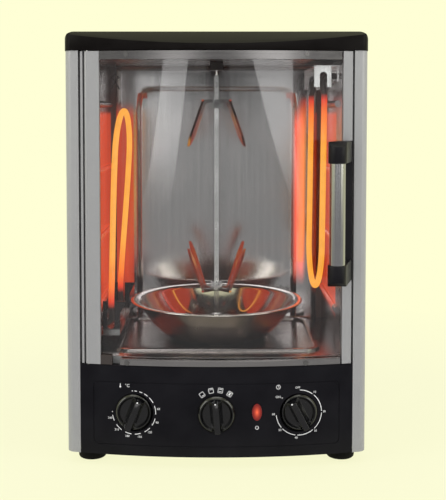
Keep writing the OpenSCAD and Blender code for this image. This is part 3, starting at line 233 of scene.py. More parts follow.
rail_steel = brushed("rail_steel", (0.36, 0.35, 0.345), "x", 0.20)
# Painted shade: the top rail is a darker copy of the bottom rail's steel, darker because of how light falls
# on it
shaded_top_rail_steel = brushed("shaded_top_rail_steel", (0.20, 0.196, 0.194), "x", 0.20)
side_steel = brushed("side_steel", (0.46, 0.42, 0.42), "z", 0.22, 300, 0.02, 0.04)
back_steel = brushed("back_steel", (0.56, 0.54, 0.54), "z", 0.15, 220, 0.02, 0.03)
floor_steel = brushed("floor_steel", (0.40, 0.36, 0.35), "x", 0.20, 300, 0.02, 0.04)
# Painted shade: the ceiling is a much darker copy of the cavity's steel, darker because of how light falls on
# it
shaded_ceiling_steel = brushed("shaded_ceiling_steel", (0.155, 0.145, 0.14), "x", 0.26, 300, 0.02, 0.04)
tube_steel = brushed("tube_steel", (0.36, 0.36, 0.368), "z", 0.20, 900)
zinc_steel = brushed("zinc_steel", (0.56, 0.57, 0.58), "x", 0.36, 200)
print("brushed steels: 8")

# %% [markdown]
# ## Polished steel and brass
# Pan, spit, forks and brackets are polished, and what tells them apart is how bright they are and how sharp
# their reflections stay. Smudges raise the roughness here and there.

# %% Polished steel
def polished(name, colour, rough):
    """Polished steel: wide noise darkens the colour a little and raises the roughness."""
    mat, shader = start(name, colour, rough, 1.0)
    smudges = grain(mat, 45)
    wire(mat, colour_mix(mat, spread(mat, smudges, 0, 1), shade(colour, 0.9), colour),
         shader.inputs["Base Color"])
    wire(mat, spread(mat, smudges, rough, rough + 0.12), shader.inputs["Roughness"])
    return mat


pan_steel = polished("pan_steel", (0.70, 0.65, 0.635), 0.04)
# Outside of the pan: rougher than the inside, and darker than it by painted shade
duller_shaded_pan_outside = polished("duller_shaded_pan_outside", (0.36, 0.31, 0.295), 0.16)
rod_steel = polished("rod_steel", (0.90, 0.885, 0.87), 0.14)
screw_steel = polished("screw_steel", (0.22, 0.215, 0.21), 0.2)
fork_steel = polished("fork_steel", (0.58, 0.57, 0.565), 0.10)
bracket_steel = polished("bracket_steel", (0.80, 0.79, 0.78), 0.16)
burnt_steel = polished("burnt_steel", (0.55, 0.54, 0.53), 0.18)
brass = polished("brass", (0.75, 0.58, 0.28), 0.25)
print("polished metals: 8")

# %% [markdown]
# ## Painted glow reflections
# Where an element hangs close, its red glow is painted on the steel as a reflection. A patch is a window
# across the wall times one in height, a little uneven along the brush lines.

# %% Painted glow reflections
# Axis across, limits and how soft each is, heights and how soft each is, all in metres
SIDE_REFLECTION_PATCH = ("Y", (-0.036, 0.120), (0.004, 0.01), (0.162, 0.372), (0.02, 0.006))
LEFT_REFLECTION_PATCH = ("X", (-0.140, -0.1055), (0.01, 0.002), (0.165, 0.362), (0.03, 0.030))
RIGHT_REFLECTION_PATCH = ("X", (0.1000, 0.1075), (0.004, 0.006), (0.185, 0.355), (0.03, 0.034))


def window(mat, value, low, high, soft_low, soft_high):
    """1 between two limits of a value and 0 outside, with a smooth edge of its own width at each: the
    product of two smooth steps."""
    rise = spread(mat, value, 0, 1, low - soft_low, low, interpolation_type="SMOOTHSTEP")
    fall = spread(mat, value, 0, 1, high + soft_high, high, interpolation_type="SMOOTHSTEP")
    return reckon(mat, "MULTIPLY", rise, fall)


def heat_patch(mat, across, limits, soft, heights, soft_z):
    """Mask of a painted glow reflection: a window across the wall (axis X or Y), one along Z, and noise along
    the brush lines.
    """
    place = axes(mat)
    patch = reckon(mat, "MULTIPLY", window(mat, place[across], *limits, *soft),
                   window(mat, place["Z"], *heights, *soft_z))
    return reckon(mat, "MULTIPLY", patch, spread(mat, grain(mat, 160, (1, 1, 0.05)), 0.8, 1.15))


# Masks of the elements' glow, painted as reflections on the side walls and on the back wall
side_glow_reflection = heat_patch(side_steel, *SIDE_REFLECTION_PATCH)
left_glow_reflection = heat_patch(back_steel, *LEFT_REFLECTION_PATCH)
right_glow_reflection = heat_patch(back_steel, *RIGHT_REFLECTION_PATCH)
print("heat patches: 3, the side walls' between heights", SIDE_REFLECTION_PATCH[3], "m")

# %% [markdown]
# ## Painted glow and darker steel
# A patch is added as light: a painted reflection of an element's glow. The steel under it is made darker,
# and the left bracket is scorched above its shelf.

# %% Painted glow on the steel
# Painted light: the elements' glow as reflected in the side and back walls, and in the back corner
WALL_GLOW_REFLECTION, CORNER_GLOW_REFLECTION = (0.50, 0.045, 0.012), (0.9, 0.10, 0.06)
DARK_STEEL, BURNT = (0.12, 0.09, 0.09), (0.055, 0.045, 0.045)
SHELF_TOP, ABOVE_ALL = 0.137, 0.4


def glow_on(mat, patches):
    """Sum of masks, each times its colour, as painted light that the steel gives off: the elements' reflected
    glow.
    """
    total = None
    for mask, colour in patches:
        scaled = add(mat, "ShaderNodeVectorMath", operation="SCALE")
        scaled.inputs[0].default_value = colour
        wire(mat, mask, scaled.inputs["Scale"])
        light = scaled.outputs[0]
        total = reckon(mat, "ADD", total, light, kind="ShaderNodeVectorMath") if total else light
    shader = mat.node_tree.nodes["Principled BSDF"]
    wire(mat, total, shader.inputs["Emission Color"])
    shader.inputs["Emission Strength"].default_value = 1.0


def scorch(mat, mask, colour):
    """Mixes a darker colour into the base colour where a mask is 1."""
    base = mat.node_tree.nodes["Principled BSDF"].inputs["Base Color"]
    wire(mat, colour_mix(mat, mask, base.links[0].from_socket, colour), base)


# The reflected glow is painted on as emission, and the steel under it is made darker
glow_on(side_steel, [(side_glow_reflection, WALL_GLOW_REFLECTION)])
scorch(side_steel, side_glow_reflection, DARK_STEEL)
glow_on(back_steel, [(left_glow_reflection, WALL_GLOW_REFLECTION), (right_glow_reflection, CORNER_GLOW_REFLECTION)])
scorch(back_steel, left_glow_reflection, DARK_STEEL)
scorch(burnt_steel, window(burnt_steel, axes(burnt_steel)["Z"], SHELF_TOP, ABOVE_ALL, 3 * MM, 10 * MM), BURNT)
# The walls are darker under the painted glow; the left bracket is scorched above its shelf
print("scorched: side walls, back wall, and the left bracket from", SHELF_TOP, "m up")

# %% [markdown]
# ## Moulded plastic and rubber
# The cap and fascia are black plastic with a satin grain, the knobs are glossy, and the handle ends are
# matt. They differ in roughness and in the depth of a fine grain, so that one function serves them all.

# %% Plastics
def moulded(name, colour, rough, grain_size=1500, grain_depth=0.01, coat=0.0, gleam=0.5):
    """Moulded plastic: a fine grain in the bump, and slight wear in colour and roughness."""
    mat, shader = start(name, colour, rough, Coat_Weight=coat, Coat_Roughness=0.06, Specular_IOR_Level=gleam)
    worn = grain(mat, 35)
    wire(mat, colour_mix(mat, spread(mat, worn, 0, 1), colour, shade(colour, 1.25, 0.002)),
         shader.inputs["Base Color"])
    wire(mat, spread(mat, worn, rough - 0.04, rough + 0.06), shader.inputs["Roughness"])
    bump(mat, shader, grain(mat, grain_size), 0.25, grain_depth * MM)
    return mat


cap_plastic = moulded("cap_plastic", (0.0045, 0.0035, 0.0032), 0.34, gleam=0.06)
fascia_plastic = moulded("fascia_plastic", (0.0065, 0.0062, 0.0085), 0.34, gleam=0.10)
knob_plastic = moulded("knob_plastic", (0.003, 0.003, 0.0035), 0.12, coat=0.5, gleam=0.35)
handle_plastic = moulded("handle_plastic", (0.006, 0.0055, 0.0075), 0.40, gleam=0.14)
foot_rubber = moulded("foot_rubber", (0.004, 0.004, 0.004), 0.7, 700, 0.03, gleam=0.1)
block_plastic = moulded("block_plastic", (0.030, 0.022, 0.020), 0.5)
cream_plastic = moulded("cream_plastic", (0.70, 0.65, 0.53), 0.45)
red_silicone = moulded("red_silicone", (0.42, 0.05, 0.03), 0.55)
print_white = moulded("print_white", (0.86, 0.86, 0.85), 0.5)
print("moulded finishes: 9")

# %% [markdown]
# ## Glowing elements
# A hairpin element glows orange where its coil is and stays dark at its cold ends. Height decides this, so
# the light that it gives off follows the Z coordinate: dark below the first height, then red, then orange.

# %% Glow by height
LEFT_COLD, LEFT_HOT, RIGHT_COLD, RIGHT_HOT = 11 * MM, 86 * MM, 14 * MM, 84 * MM
HEAT_COLOURS = [(0.0, (0.0, 0.0, 0.0, 1)), (1.0, (1.0, 0.40, 0.045, 1)), (0.12, (0.0, 0.0, 0.0, 1)),
                (0.22, (0.75, 0.035, 0.008, 1)), (0.45, (1.0, 0.19, 0.016, 1))]
BRIGHTNESS = 1.1


def glowing(name, cold_z, hot_z):
    """Element sheath: dark at cold_z, red a little past it, full orange from hot_z on (metres)."""
    mat, shader = start(name, (0.06, 0.045, 0.04), 0.6)
    ramp = add(mat, "ShaderNodeValToRGB")
    stops = ramp.color_ramp.elements
    for index, (position, colour) in enumerate(HEAT_COLOURS):
        stop = stops[index] if index < 2 else stops.new(position)
        stop.position, stop.color = position, colour
    wire(mat, spread(mat, axes(mat)["Z"], 0, 1, cold_z, hot_z), ramp.inputs["Fac"])
    wire(mat, ramp.outputs["Color"], shader.inputs["Emission Color"])
    flicker = spread(mat, grain(mat, 90), 0.94, 1.06)
    wire(mat, reckon(mat, "MULTIPLY", flicker, BRIGHTNESS), shader.inputs["Emission Strength"])
    bump(mat, shader, grain(mat, 700), 0.2, 0.03 * MM)
    return mat


left_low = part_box("left_heating_element")[0].z
right_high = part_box("right_heating_element")[1].z
left_glow = glowing("left_glow", left_low + LEFT_COLD, left_low + LEFT_HOT)
right_glow = glowing("right_glow", right_high - RIGHT_COLD, right_high - RIGHT_HOT)
print("elements glow from", round(left_low + LEFT_COLD, 3), "m up and from",
      round(right_high - RIGHT_COLD, 3), "m down")

# %% [markdown]
# ## Glass
# The pane is clear and thin. A Transparent shader lets sight and light through, and a mirror shader is
# mixed in with Schlick's rule: the share of the mirror is small in front and grows with the fifth power of
# the slant. Layer Weight's Facing is the same on both faces of the pane, so the pane stays clear from above
# as well.

# %% Door glass
MIRROR = 0.036


def clear_glass():
    """Clear pane: see-through, with a mirror's share of base plus the rest times slant to the fifth power."""
    mat, shader = start("clear_glass", (1.0, 1.0, 1.0), 0.02, 1.0)
    film = add(mat, "ShaderNodeBsdfTransparent", Color=(0.96, 0.97, 0.97, 1))
    slant = add(mat, "ShaderNodeLayerWeight", Blend=0.5)
    share = reckon(mat, "MULTIPLY_ADD", reckon(mat, "POWER", slant.outputs["Facing"], 5), 1 - MIRROR, MIRROR)
    mixed = add(mat, "ShaderNodeMixShader")
    for index, source in enumerate((share, film.outputs[0], shader.outputs[0])):
        wire(mat, source, mixed.inputs[index])
    wire(mat, mixed.outputs[0], mat.node_tree.nodes["Material Output"].inputs["Surface"])
    return mat


door_clear = clear_glass()
print("pane mirrors", MIRROR, "straight on")

# %% [markdown]
# ## The lamp's lens
# A small oval lens of red plastic has a lamp behind it, so it is brightest in its middle and dark at its
# rim. The light falls off with the distance from the middle, in which heights count for less than widths.

# %% Lamp lens
LENS_RIM, LENS_MIDDLE = (0.25, 0.003, 0.001), (1.0, 0.16, 0.06)
LENS_REACH, LENS_OVAL = 4.4 * MM, (1, 0, 0.55)


def lit_lens():
    """Red lens: light from 1 in the middle to almost none where the oval distance reaches its limit."""
    mat, shader = start("lit_lens", (0.22, 0.008, 0.004), 0.12, Coat_Weight=0.5)
    low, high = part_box("lamp_lens")
    vector = "ShaderNodeVectorMath"
    place = add(mat, "ShaderNodeTexCoord").outputs["Object"]
    out = reckon(mat, "SUBTRACT", place, (low + high) / 2, kind=vector)
    far = add(mat, vector, operation="LENGTH")
    wire(mat, reckon(mat, "MULTIPLY", out, LENS_OVAL, kind=vector), far.inputs[0])
    shine = spread(mat, far.outputs["Value"], 1.0, 0.04, 0.0, LENS_REACH)
    wire(mat, colour_mix(mat, shine, LENS_RIM, LENS_MIDDLE), shader.inputs["Emission Color"])
    wire(mat, shine, shader.inputs["Emission Strength"])
    bump(mat, shader, grain(mat, 500, (1, 1, 2.5)), 0.5, 0.2 * MM)
    return mat


lens_red = lit_lens()
print("lens: light reaches", round(LENS_REACH / MM, 1), "mm from its middle")

# %% [markdown]
# ## Dressing the frame
# Each CAD node gets its finish in its material slots. A short table names the nodes of each finish.

# %% Finishes of the CAD nodes
def dress(mat, *names):
    """Gives CAD nodes a finish."""
    for name in names:
        slots = nodes[name].material_slots
        if len(slots) == 0:
            nodes[name].data.materials.append(mat)
        for s in slots:
            s.material = mat


FINISHES = [
    (panel_paint, "left_side_panel", "right_side_panel", "back_cover"),
    (cap_plastic, "top_cap"),
    (zinc_steel, "base_plate", "motor_housing", "motor_bracket", "control_plate", "timer_body",
     "door_strike_plate", "machine_screws", "temperature_shaft", "function_shaft", "timer_shaft"),
    (bracket_steel, "right_element_bracket"),
    (burnt_steel, "left_element_bracket"),
    (foot_rubber, "feet"),
    (rod_steel, "hinge_pins", "spit", "drive_spindle"),
    (screw_steel, "casing_screws", "door_screws"),
    (stile_paint, "front_frame", "door_left_stile", "door_right_stile"),
    (fascia_plastic, "control_fascia"),
    (side_steel, "cavity_left_wall", "cavity_right_wall"),
    (back_steel, "cavity_back_wall"),
    (shaded_ceiling_steel, "cavity_ceiling"),
    (floor_steel, "cavity_floor"),
    (left_glow, "left_heating_element"),
    (right_glow, "right_heating_element"),
    (brass, "element_terminals", "spindle_bush"),
    (block_plastic, "element_wire_hook", "top_bearing_block", "cord_gland", "glass_corner_block",
     "door_magnet"),
    (cream_plastic, "thermostat_body", "function_switch_body", "lamp_body", "terminal_block"),
    (red_silicone, "wiring"),
    (lens_red, "lamp_lens"),
    (door_clear, "door_glass"),
    (rail_steel, "door_bottom_rail"),
    (shaded_top_rail_steel, "door_top_rail"),
    (handle_plastic, "handle_back_plate", "handle_end_pieces"),
    (tube_steel, "handle_tube"),
    (knob_plastic, "temperature_knob", "function_knob", "timer_knob"),
    (fork_steel, "lower_fork", "upper_fork", "lower_fork_screw", "upper_fork_screw"),
    (pan_steel, "drip_pan"),
]
for finish, *names in FINISHES:
    dress(finish, *names)
print("dressed:", sum(len(f) - 1 for f in FINISHES), "of", len(nodes), "nodes")

# %% [markdown]
# ## Softened mouldings
# Moulded plastic and rubber have no sharp edges. A copy of the node's mesh is merged, its flat stretches
# are made single faces, and a Bevel modifier rounds what is left. The copy stands for the node.

# %% Bevelled copies
MERGE, FLAT_TO, EDGE_FROM = 0.004 * MM, math.radians(1.0), math.radians(28)


def softened(node, body, mat, width, segments=3):
    """A copy of a CAD node with its edges rounded by a width in millimetres."""
    mesh = nodes[node].data.copy()
    mesh.name = node + "_soft"
    edit = bmesh.new()
    edit.from_mesh(mesh)
    bmesh.ops.remove_doubles(edit, verts=edit.verts, dist=MERGE)
    bmesh.ops.dissolve_limit(edit, angle_limit=FLAT_TO, verts=edit.verts, edges=edit.edges)
    edit.to_mesh(mesh)
    edit.free()
    mesh.materials.clear()
    mesh.materials.append(mat)
    piece = bpy.data.objects.new(node + "_soft", mesh)
    bpy.context.scene.collection.objects.link(piece)
    mesh.shade_smooth()
    mod = piece.modifiers.new("edges", "BEVEL")
    mod.width = width * MM
    mod.segments = segments
    mod.limit_method = "ANGLE"
    mod.angle_limit = EDGE_FROM
    mod.use_clamp_overlap = True
    mod.harden_normals = True
    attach(piece, body)
    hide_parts(node)


softened("top_cap", "root", cap_plastic, 1.2)
softened("handle_end_pieces", "door", handle_plastic, 1.2)
softened("feet", "root", foot_rubber, 0.6)
for knob, body in (("temperature_knob", "temperature_dial"), ("function_knob", "function_dial"),
                   ("timer_knob", "timer_dial")):
    softened(knob, body, knob_plastic, 0.5, 2)
print("softened: 6 mouldings")

# %% [markdown]
# ## New pieces
# What the frame has no form for is made from rows of points and the faces that join them. Every such piece
# stands at the origin with its place in its points.

# %% Piece helpers
def new_piece(name, points, faces, mats, closed=False, merge=0.0):
    """A piece from rows of points and faces. A closed one has points nearer than merge joined and its faces
    turned outwards."""
    mesh = bpy.data.meshes.new(name)
    mesh.from_pydata(points.tolist(), [], faces)
    if closed:
        edit = bmesh.new()
        edit.from_mesh(mesh)
        if merge > 0:
            bmesh.ops.remove_doubles(edit, verts=edit.verts, dist=merge)
        bmesh.ops.recalc_face_normals(edit, faces=edit.faces)
        edit.to_mesh(mesh)
        edit.free()
    for mat in mats:
        mesh.materials.append(mat)
    piece = bpy.data.objects.new(name, mesh)
    bpy.context.scene.collection.objects.link(piece)
    return piece


def tube_faces(rings, sides):
    """Faces of a closed tube: quads between rings, and a cap at each end."""
    i = np.arange(rings - 1)[:, None] * sides
    j = np.arange(sides)[None, :]
    k = (j + 1) % sides
    quads = np.stack([i + j, i + k, i + sides + k, i + sides + j], -1).reshape(-1, 4)
    last = (rings - 1) * sides
    return quads.tolist() + [list(range(sides))[::-1], list(range(last, last + sides))]


print("piece helpers: a tube of 3 rings and 4 sides has", len(tube_faces(3, 4)), "faces")

# %% [markdown]
# ## Hairpin elements
# An element is one steel tube, bent twice near each end and once in a round turn. Hung on two ends only, a
# hot hairpin twists a little, so that its front and rear legs part, and in the photograph they do. A circle
# is carried along the bent line, so that the twist is a plain shift of the line's points.

# %% Line and sheath of a hairpin
HAIRPIN_R, ELBOW_R, TAIL, SHEATH_R = 50 * MM, 8 * MM, 16 * MM, 3.3 * MM
SHEATH_SIDES = 20


def hairpin_line(leg, lean, twist, ease, straighten, low_out):
    """Middle line of a hairpin: tails, quarter circles, legs and a half circle, leant by a turn round Y.
    Then X grows by twist times y over the bend radius, eased in over the first part of the leg, and shrinks
    by straighten times the height's share of the leg, and by low_out where the leg is low."""
    a = np.radians(np.linspace(0, 90, 9))
    z = np.linspace(0, leg, 30)[1:-1]
    b = np.radians(np.linspace(180, 0, 41))
    end = np.stack([-ELBOW_R + ELBOW_R * np.sin(a), -HAIRPIN_R + 0 * a, -ELBOW_R * np.cos(a)], -1)
    end = np.vstack([[-ELBOW_R - TAIL, -HAIRPIN_R, -ELBOW_R], end])
    half = np.vstack([end, np.stack([0 * z, -HAIRPIN_R + 0 * z, z], -1)])
    bend = np.stack([0 * b, HAIRPIN_R * np.cos(b), leg + HAIRPIN_R * np.sin(b)], -1)
    line = np.vstack([half, bend, (half * [1, -1, 1])[::-1]])
    height = line[:, 2].copy()
    c, d = math.cos(math.atan(lean / leg)), math.sin(math.atan(lean / leg))
    line = np.stack([line[:, 0] * c + line[:, 2] * d, line[:, 1], line[:, 2] * c - line[:, 0] * d], -1)
    rise, up = np.clip(height / ease, 0, 1), np.clip(height / leg, 0, 1)
    line[:, 0] += twist * line[:, 1] / HAIRPIN_R * rise * rise * (3 - 2 * rise)
    line[:, 0] -= straighten * up + low_out * (1 - up) * np.clip(height / (2 * ELBOW_R), 0, 1)
    return line, height <= 0


def sheath(line, low_part):
    """Circle carried along a line. Its first axis is the world's X on legs and bend, and the cross product of
    the Y axis and the line's own direction in the elbows."""
    ahead = np.gradient(line, axis=0)
    ahead /= np.linalg.norm(ahead, axis=1, keepdims=True)
    across = np.zeros_like(line)
    across[:, 1] = -np.sign(line[:, 1])
    first = np.where(low_part[:, None], np.cross(across, ahead), np.array([1.0, 0, 0]))
    first -= (first * ahead).sum(1, keepdims=True) * ahead
    first /= np.linalg.norm(first, axis=1, keepdims=True)
    second = np.cross(ahead, first)
    a = np.radians(np.arange(SHEATH_SIDES) * 360 / SHEATH_SIDES)[None, :, None]
    points = line[:, None] + SHEATH_R * (first[:, None] * np.cos(a) + second[:, None] * np.sin(a))
    return points.reshape(-1, 3), tube_faces(len(line), SHEATH_SIDES)


print("hairpin: bend", round(HAIRPIN_R / MM), "mm, sheath", round(2 * SHEATH_R / MM, 1), "mm thick")

# %% [markdown]
# The left element stands with its bend up and the right one hangs with its bend down, so the right one is
# turned over in X and Z. Each has its own length, lean and twist, as measured in the photograph.

# %% Twisted hairpins
LEG_Y, LEG_X = 9.55 * MM, 117 * MM
# Node, then leg, lean, twist, ease, straighten and low_out in millimetres, then 1 for bend up and -1 for down
HAIRPINS = [("left_heating_element", (179.6, 7.8, 3.4, 180, 0, 1.3), 1, left_glow),
            ("right_heating_element", (183, 4, 2.3, 14, 2, 0), -1, right_glow)]

for name, sizes, flip, mat in HAIRPINS:
    points, faces = sheath(*hairpin_line(*[size * MM for size in sizes]))
    low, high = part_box(name)
    points[:, 0] = flip * (points[:, 0] - LEG_X)
    points[:, 1] += LEG_Y
    points[:, 2] *= flip
    points[:, 2] += low.z - points[:, 2].min() if flip > 0 else high.z - points[:, 2].max()
    piece = new_piece(name + "_tube", points, faces, [mat], closed=True)
    piece.data.shade_smooth()
    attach(piece, "root")
    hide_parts(name)
    print(name, len(faces), "faces, X", round(points[:, 0].min(), 4), round(points[:, 0].max(), 4))

# %% [markdown]
# ## The pressed back wall
# The back wall is thin sheet with a panel pressed into it, and the press leaves a soft rim that catches a
# line of light. A height field shows this best: the wall's depth is a smooth step of the distance to the
# panel's rounded outline. Points lie close together at the rim and the sharp foot. The floor's bead is
# pressed too, and a bevel on a copy is enough for it.

# %% Pressed sheet
PRESS_X, PRESS_R, PRESS_TOP, PRESS_SOFT = 101 * MM, 22 * MM, 24.3 * MM, 6 * MM
SHEET, NEAR_EDGE = 1.2 * MM, 8 * MM
SHARP_FROM = math.radians(40)


def close_to(edges, low, high, count):
    """Places along one axis: an even few, and many more close to each edge."""
    steps = [np.linspace(low, high, count)] + [np.linspace(e - NEAR_EDGE, e + NEAR_EDGE, 17) for e in edges]
    both = np.unique(np.round(np.concatenate(steps), 7))
    return both[(both >= low) & (both <= high)]


low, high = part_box("cavity_back_wall")
top = high.z - SHEET - PRESS_TOP
foot = low.z + 2 * SHEET
x = close_to((-PRESS_X, PRESS_X), low.x, high.x, 36)
z = close_to((top,), foot, high.z, 48)
z = np.concatenate([[low.z, foot - 0.02 * MM, foot, foot + 0.2 * MM], z[1:]])
X, Z = np.meshgrid(x, z, indexing="ij")
out_x, out_z = np.abs(X) - (PRESS_X - PRESS_R), Z - (top - PRESS_R)
gone = (np.hypot(np.maximum(out_x, 0), np.maximum(out_z, 0))
        + np.minimum(np.maximum(out_x, out_z), 0) - PRESS_R)
step = np.clip(-gone / PRESS_SOFT, 0, 1)
depth = (high.y - SHEET - low.y) * step * step * (3 - 2 * step) * (Z >= foot)
points = np.stack([X, low.y + depth, Z], -1).reshape(-1, 3)
i = np.arange(len(x) - 1)[:, None] * len(z)
j = np.arange(len(z) - 1)[None, :]
faces = np.stack([i + j, i + j + len(z), i + j + len(z) + 1, i + j + 1], -1).reshape(-1, 4)
piece = new_piece("pressed_back_wall", points, faces.tolist(), [back_steel])
piece.data.shade_smooth()
piece.data.set_sharp_from_angle(angle=SHARP_FROM)
mod = piece.modifiers.new("sheet", "SOLIDIFY")
mod.thickness = SHEET
mod.offset = -1
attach(piece, "root")
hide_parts("cavity_back_wall")
softened("cavity_floor", "root", floor_steel, 1.4)
print("back wall:", len(faces), "faces; first normal", [round(v, 2) for v in piece.data.polygons[0].normal])

# %% [markdown]
# ## The drip pan
# The pan is spun from thin polished steel: a hub round the spit, a flat floor, a wall that opens outwards
# and a flared rim. Its closed outline is turned round the spit's axis, with enough rings that the elements
# show in it as clean curved streaks.

# %% Outline of the pan
PAN_SHEET, PAN_HUB_H, PAN_WALL_H, PAN_FLOOR_R, PAN_WALL_R = 0.8, 18.8, 41.2, 52, 39
# Radius and height of the rim's points, from the wall's inside over the edge to its outside
PAN_RIM = [(91.3, 42.2), (92.6, 42.8), (96, 43.2), (98.8, 43.3), (99.7, 42.9), (99.9, 42.2), (99.6, 41.8),
           (98.6, 42.4), (95.6, 42.4), (92.8, 42.0)]


def pan_outline():
    """Closed outline in millimetres as radius and height: the wall's radius grows evenly while its height
    grows with the power of 5/3, inside and outside a sheet's thickness apart."""
    t = np.linspace(0, 1, 26)
    r, z = PAN_FLOOR_R + PAN_WALL_R * t, PAN_WALL_H * t ** (5 / 3)
    inner = np.stack([r - PAN_SHEET * t, z + PAN_SHEET * (1 - t)], -1)
    outer = np.stack([r, z], -1)[::-1]
    hub_in = [(8, PAN_HUB_H - 1), (8.3, PAN_HUB_H), (9.6, PAN_HUB_H), (11, PAN_HUB_H - 1.2), (22, 2.2),
              (24, 1.0), (26, PAN_SHEET)]
    hub_out = [(25, 0), (22.6, 0.8), (10.4, PAN_HUB_H - 2.6), (8.4, PAN_HUB_H - 2)]
    return np.vstack([hub_in, inner, PAN_RIM, outer, hub_out])


outline = pan_outline()
print("pan outline:", len(outline), "points, radius to", outline[:, 0].max(), "mm")

# %% [markdown]
# Turning the outline gives rings of points. The rings before a certain one are the bright inside, and the
# rest are the outside, which is rougher and darker by painted shade, so the piece has two finishes.

# %% Spun pan
PAN_SIDES, FIRST_OUTSIDE = 144, 43


def turned(outline, sides):
    """Grid of a closed outline turned round Z: rings of points, each joined to the next, the
    last to the first."""
    a = np.radians(np.arange(sides) * 360 / sides)[None, :]
    r, z = outline[:, :1], outline[:, 1:]
    points = np.stack([r * np.cos(a), r * np.sin(a), z + 0 * a], -1).reshape(-1, 3)
    i = np.arange(len(outline))[:, None]
    j = np.arange(sides)[None, :]
    k, m = (i + 1) % len(outline), (j + 1) % sides
    return points, np.stack([i * sides + j, i * sides + m, k * sides + m, k * sides + j], -1).reshape(-1, 4)


low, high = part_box("drip_pan")
points, faces = turned(outline * MM, PAN_SIDES)
points += [(low.x + high.x) / 2, (low.y + high.y) / 2, low.z]
piece = new_piece("spun_pan", points, faces.tolist(), [pan_steel, duller_shaded_pan_outside], closed=True)
piece.data.shade_smooth()
ring = np.arange(len(faces)) // PAN_SIDES
piece.data.polygons.foreach_set("material_index", (ring >= FIRST_OUTSIDE).astype(int))
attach(piece, "pan")
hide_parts("drip_pan")
print("pan:", len(faces), "faces, rim", round((high.x - low.x) / 2 / MM, 1), "mm")

# %% [markdown]
# ## Printed marks
# A mark is a thin solid: a bar along an arc, a straight bar or a dot, drawn flat in X, depth and Z and a
# tenth of a millimetre thick, like thick print.

# %% Flat marks
PRINT_T, ARC_STEP = 0.10 * MM, 3


def arc_bar(centre, radius, a0, a1, width):
    """Flat bar along an arc, clockwise from the top in degrees: 4 corners by n steps, in X, depth, Z."""
    steps = max(2, int(abs(a1 - a0) / ARC_STEP) + 1)
    a = np.radians(np.linspace(a0, a1, steps))[:, None]
    r = radius + np.array([-width, width, width, -width])[None, :] / 2
    t = np.array([0, 0, 1, 1])[None, :] * PRINT_T
    x = centre[0] + r * np.sin(a)
    z = centre[1] + r * np.cos(a)
    points = np.stack([x, np.broadcast_to(t, x.shape), z], -1).reshape(-1, 3)
    return points, tube_faces(steps, 4)


def bar(p, q, width):
    """Straight flat bar from p to q: its corners lie half the width off the line, on either side."""
    d = np.array(q) - np.array(p)
    n = np.array([-d[1], d[0]]) / np.hypot(*d) * width / 2
    corners = [(c[0] + s * n[0], t, c[1] + s * n[1]) for c in (p, q)
               for s, t in ((1, 0), (-1, 0), (-1, PRINT_T), (1, PRINT_T))]
    return np.array(corners), tube_faces(2, 4)


def disc(centre, radius, sides=16):
    """Flat round dot: two rings, closed, in X, depth, Z."""
    a = np.radians(np.arange(sides) * 360 / sides)
    ring = np.stack([centre[0] + radius * np.cos(a), np.zeros(sides), centre[1] + radius * np.sin(a)], -1)
    points = np.vstack([ring, ring + [0, PRINT_T, 0]])
    return points, tube_faces(2, sides)


print("marks are", round(PRINT_T / MM, 2), "mm thick")

# %% [markdown]
# ## Letters
# Numbers are Blender's own text. It is made a mesh at once, so that its points can be laid like any other
# mark's.

# %% Letters
SIZE_FOR_HEIGHT = 1.4


def words(text, centre, height):
    """Letters centred on a point: the font's outlines filled, as thick as print and stood upright."""
    curve = bpy.data.curves.new("letters", "FONT")
    curve.body = text
    curve.size = height * SIZE_FOR_HEIGHT
    curve.align_x, curve.align_y = "CENTER", "CENTER"
    curve.resolution_u = 3
    curve.extrude = PRINT_T / 2
    holder = bpy.data.objects.new("letters", curve)
    bpy.context.scene.collection.objects.link(holder)
    bpy.context.view_layer.update()
    mesh = bpy.data.meshes.new_from_object(holder.evaluated_get(bpy.context.evaluated_depsgraph_get()))
    flat = np.empty(len(mesh.vertices) * 3)
    mesh.vertices.foreach_get("co", flat)
    x, z, y = flat.reshape(-1, 3).T
    points = np.stack([centre[0] + x, PRINT_T / 2 - y, centre[1] + z], -1)
    faces = [list(p.vertices) for p in mesh.polygons]
    bpy.data.objects.remove(holder)
    bpy.data.curves.remove(curve)
    bpy.data.meshes.remove(mesh)
    return points, faces


print("a zero has", len(words("0", (0, 0), MM)[1]), "faces")

# %% [markdown]
# ## Laying marks on the bow
# The fascia is bowed, so each point of a mark keeps its X and Z and gets the fascia's own depth for its X.
# The marks of one scale become one piece.

# %% Laying marks on the bow
BOW, SUNK, PRINT_MERGE = 0.66, 0.02 * MM, 0.001 * MM
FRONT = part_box("control_fascia")[0].y


def bow_depth(x):
    """How far the bow lies behind its foremost line at a distance x: r minus the root of r squared less x
    squared."""
    return BOW - np.sqrt(BOW ** 2 - x ** 2)


def print_on(name, parts, body="root", surface=None):
    """Joins marks into one piece and lays them on the bow, or at one depth."""
    counts = np.cumsum([0] + [len(p) for p, _ in parts]).tolist()
    faces = [[v + count for v in face] for (_, f), count in zip(parts, counts) for face in f]
    points = np.vstack([p for p, _ in parts])
    base = FRONT + bow_depth(points[:, 0]) if surface is None else surface
    points[:, 1] += base - PRINT_T + SUNK
    piece = new_piece(name, points, faces, [print_white], closed=True, merge=PRINT_MERGE)
    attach(piece, body)


def around(centre, radius, angle):
    """Point at an angle clockwise from the top."""
    a = math.radians(angle)
    return centre[0] + radius * math.sin(a), centre[1] + radius * math.cos(a)


def middle_of(node):
    """Middle of a node's box, seen from the front, in metres."""
    low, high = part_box(node)
    return (low.x + high.x) / 2, (low.z + high.z) / 2


temperature_at, function_at, timer_at, lens_at = [
    middle_of(node) for node in ("temperature_shaft", "function_shaft", "timer_shaft", "lamp_lens")]
print("bow:", round(bow_depth(timer_at[0]) / MM, 2), "mm deep at the timer")

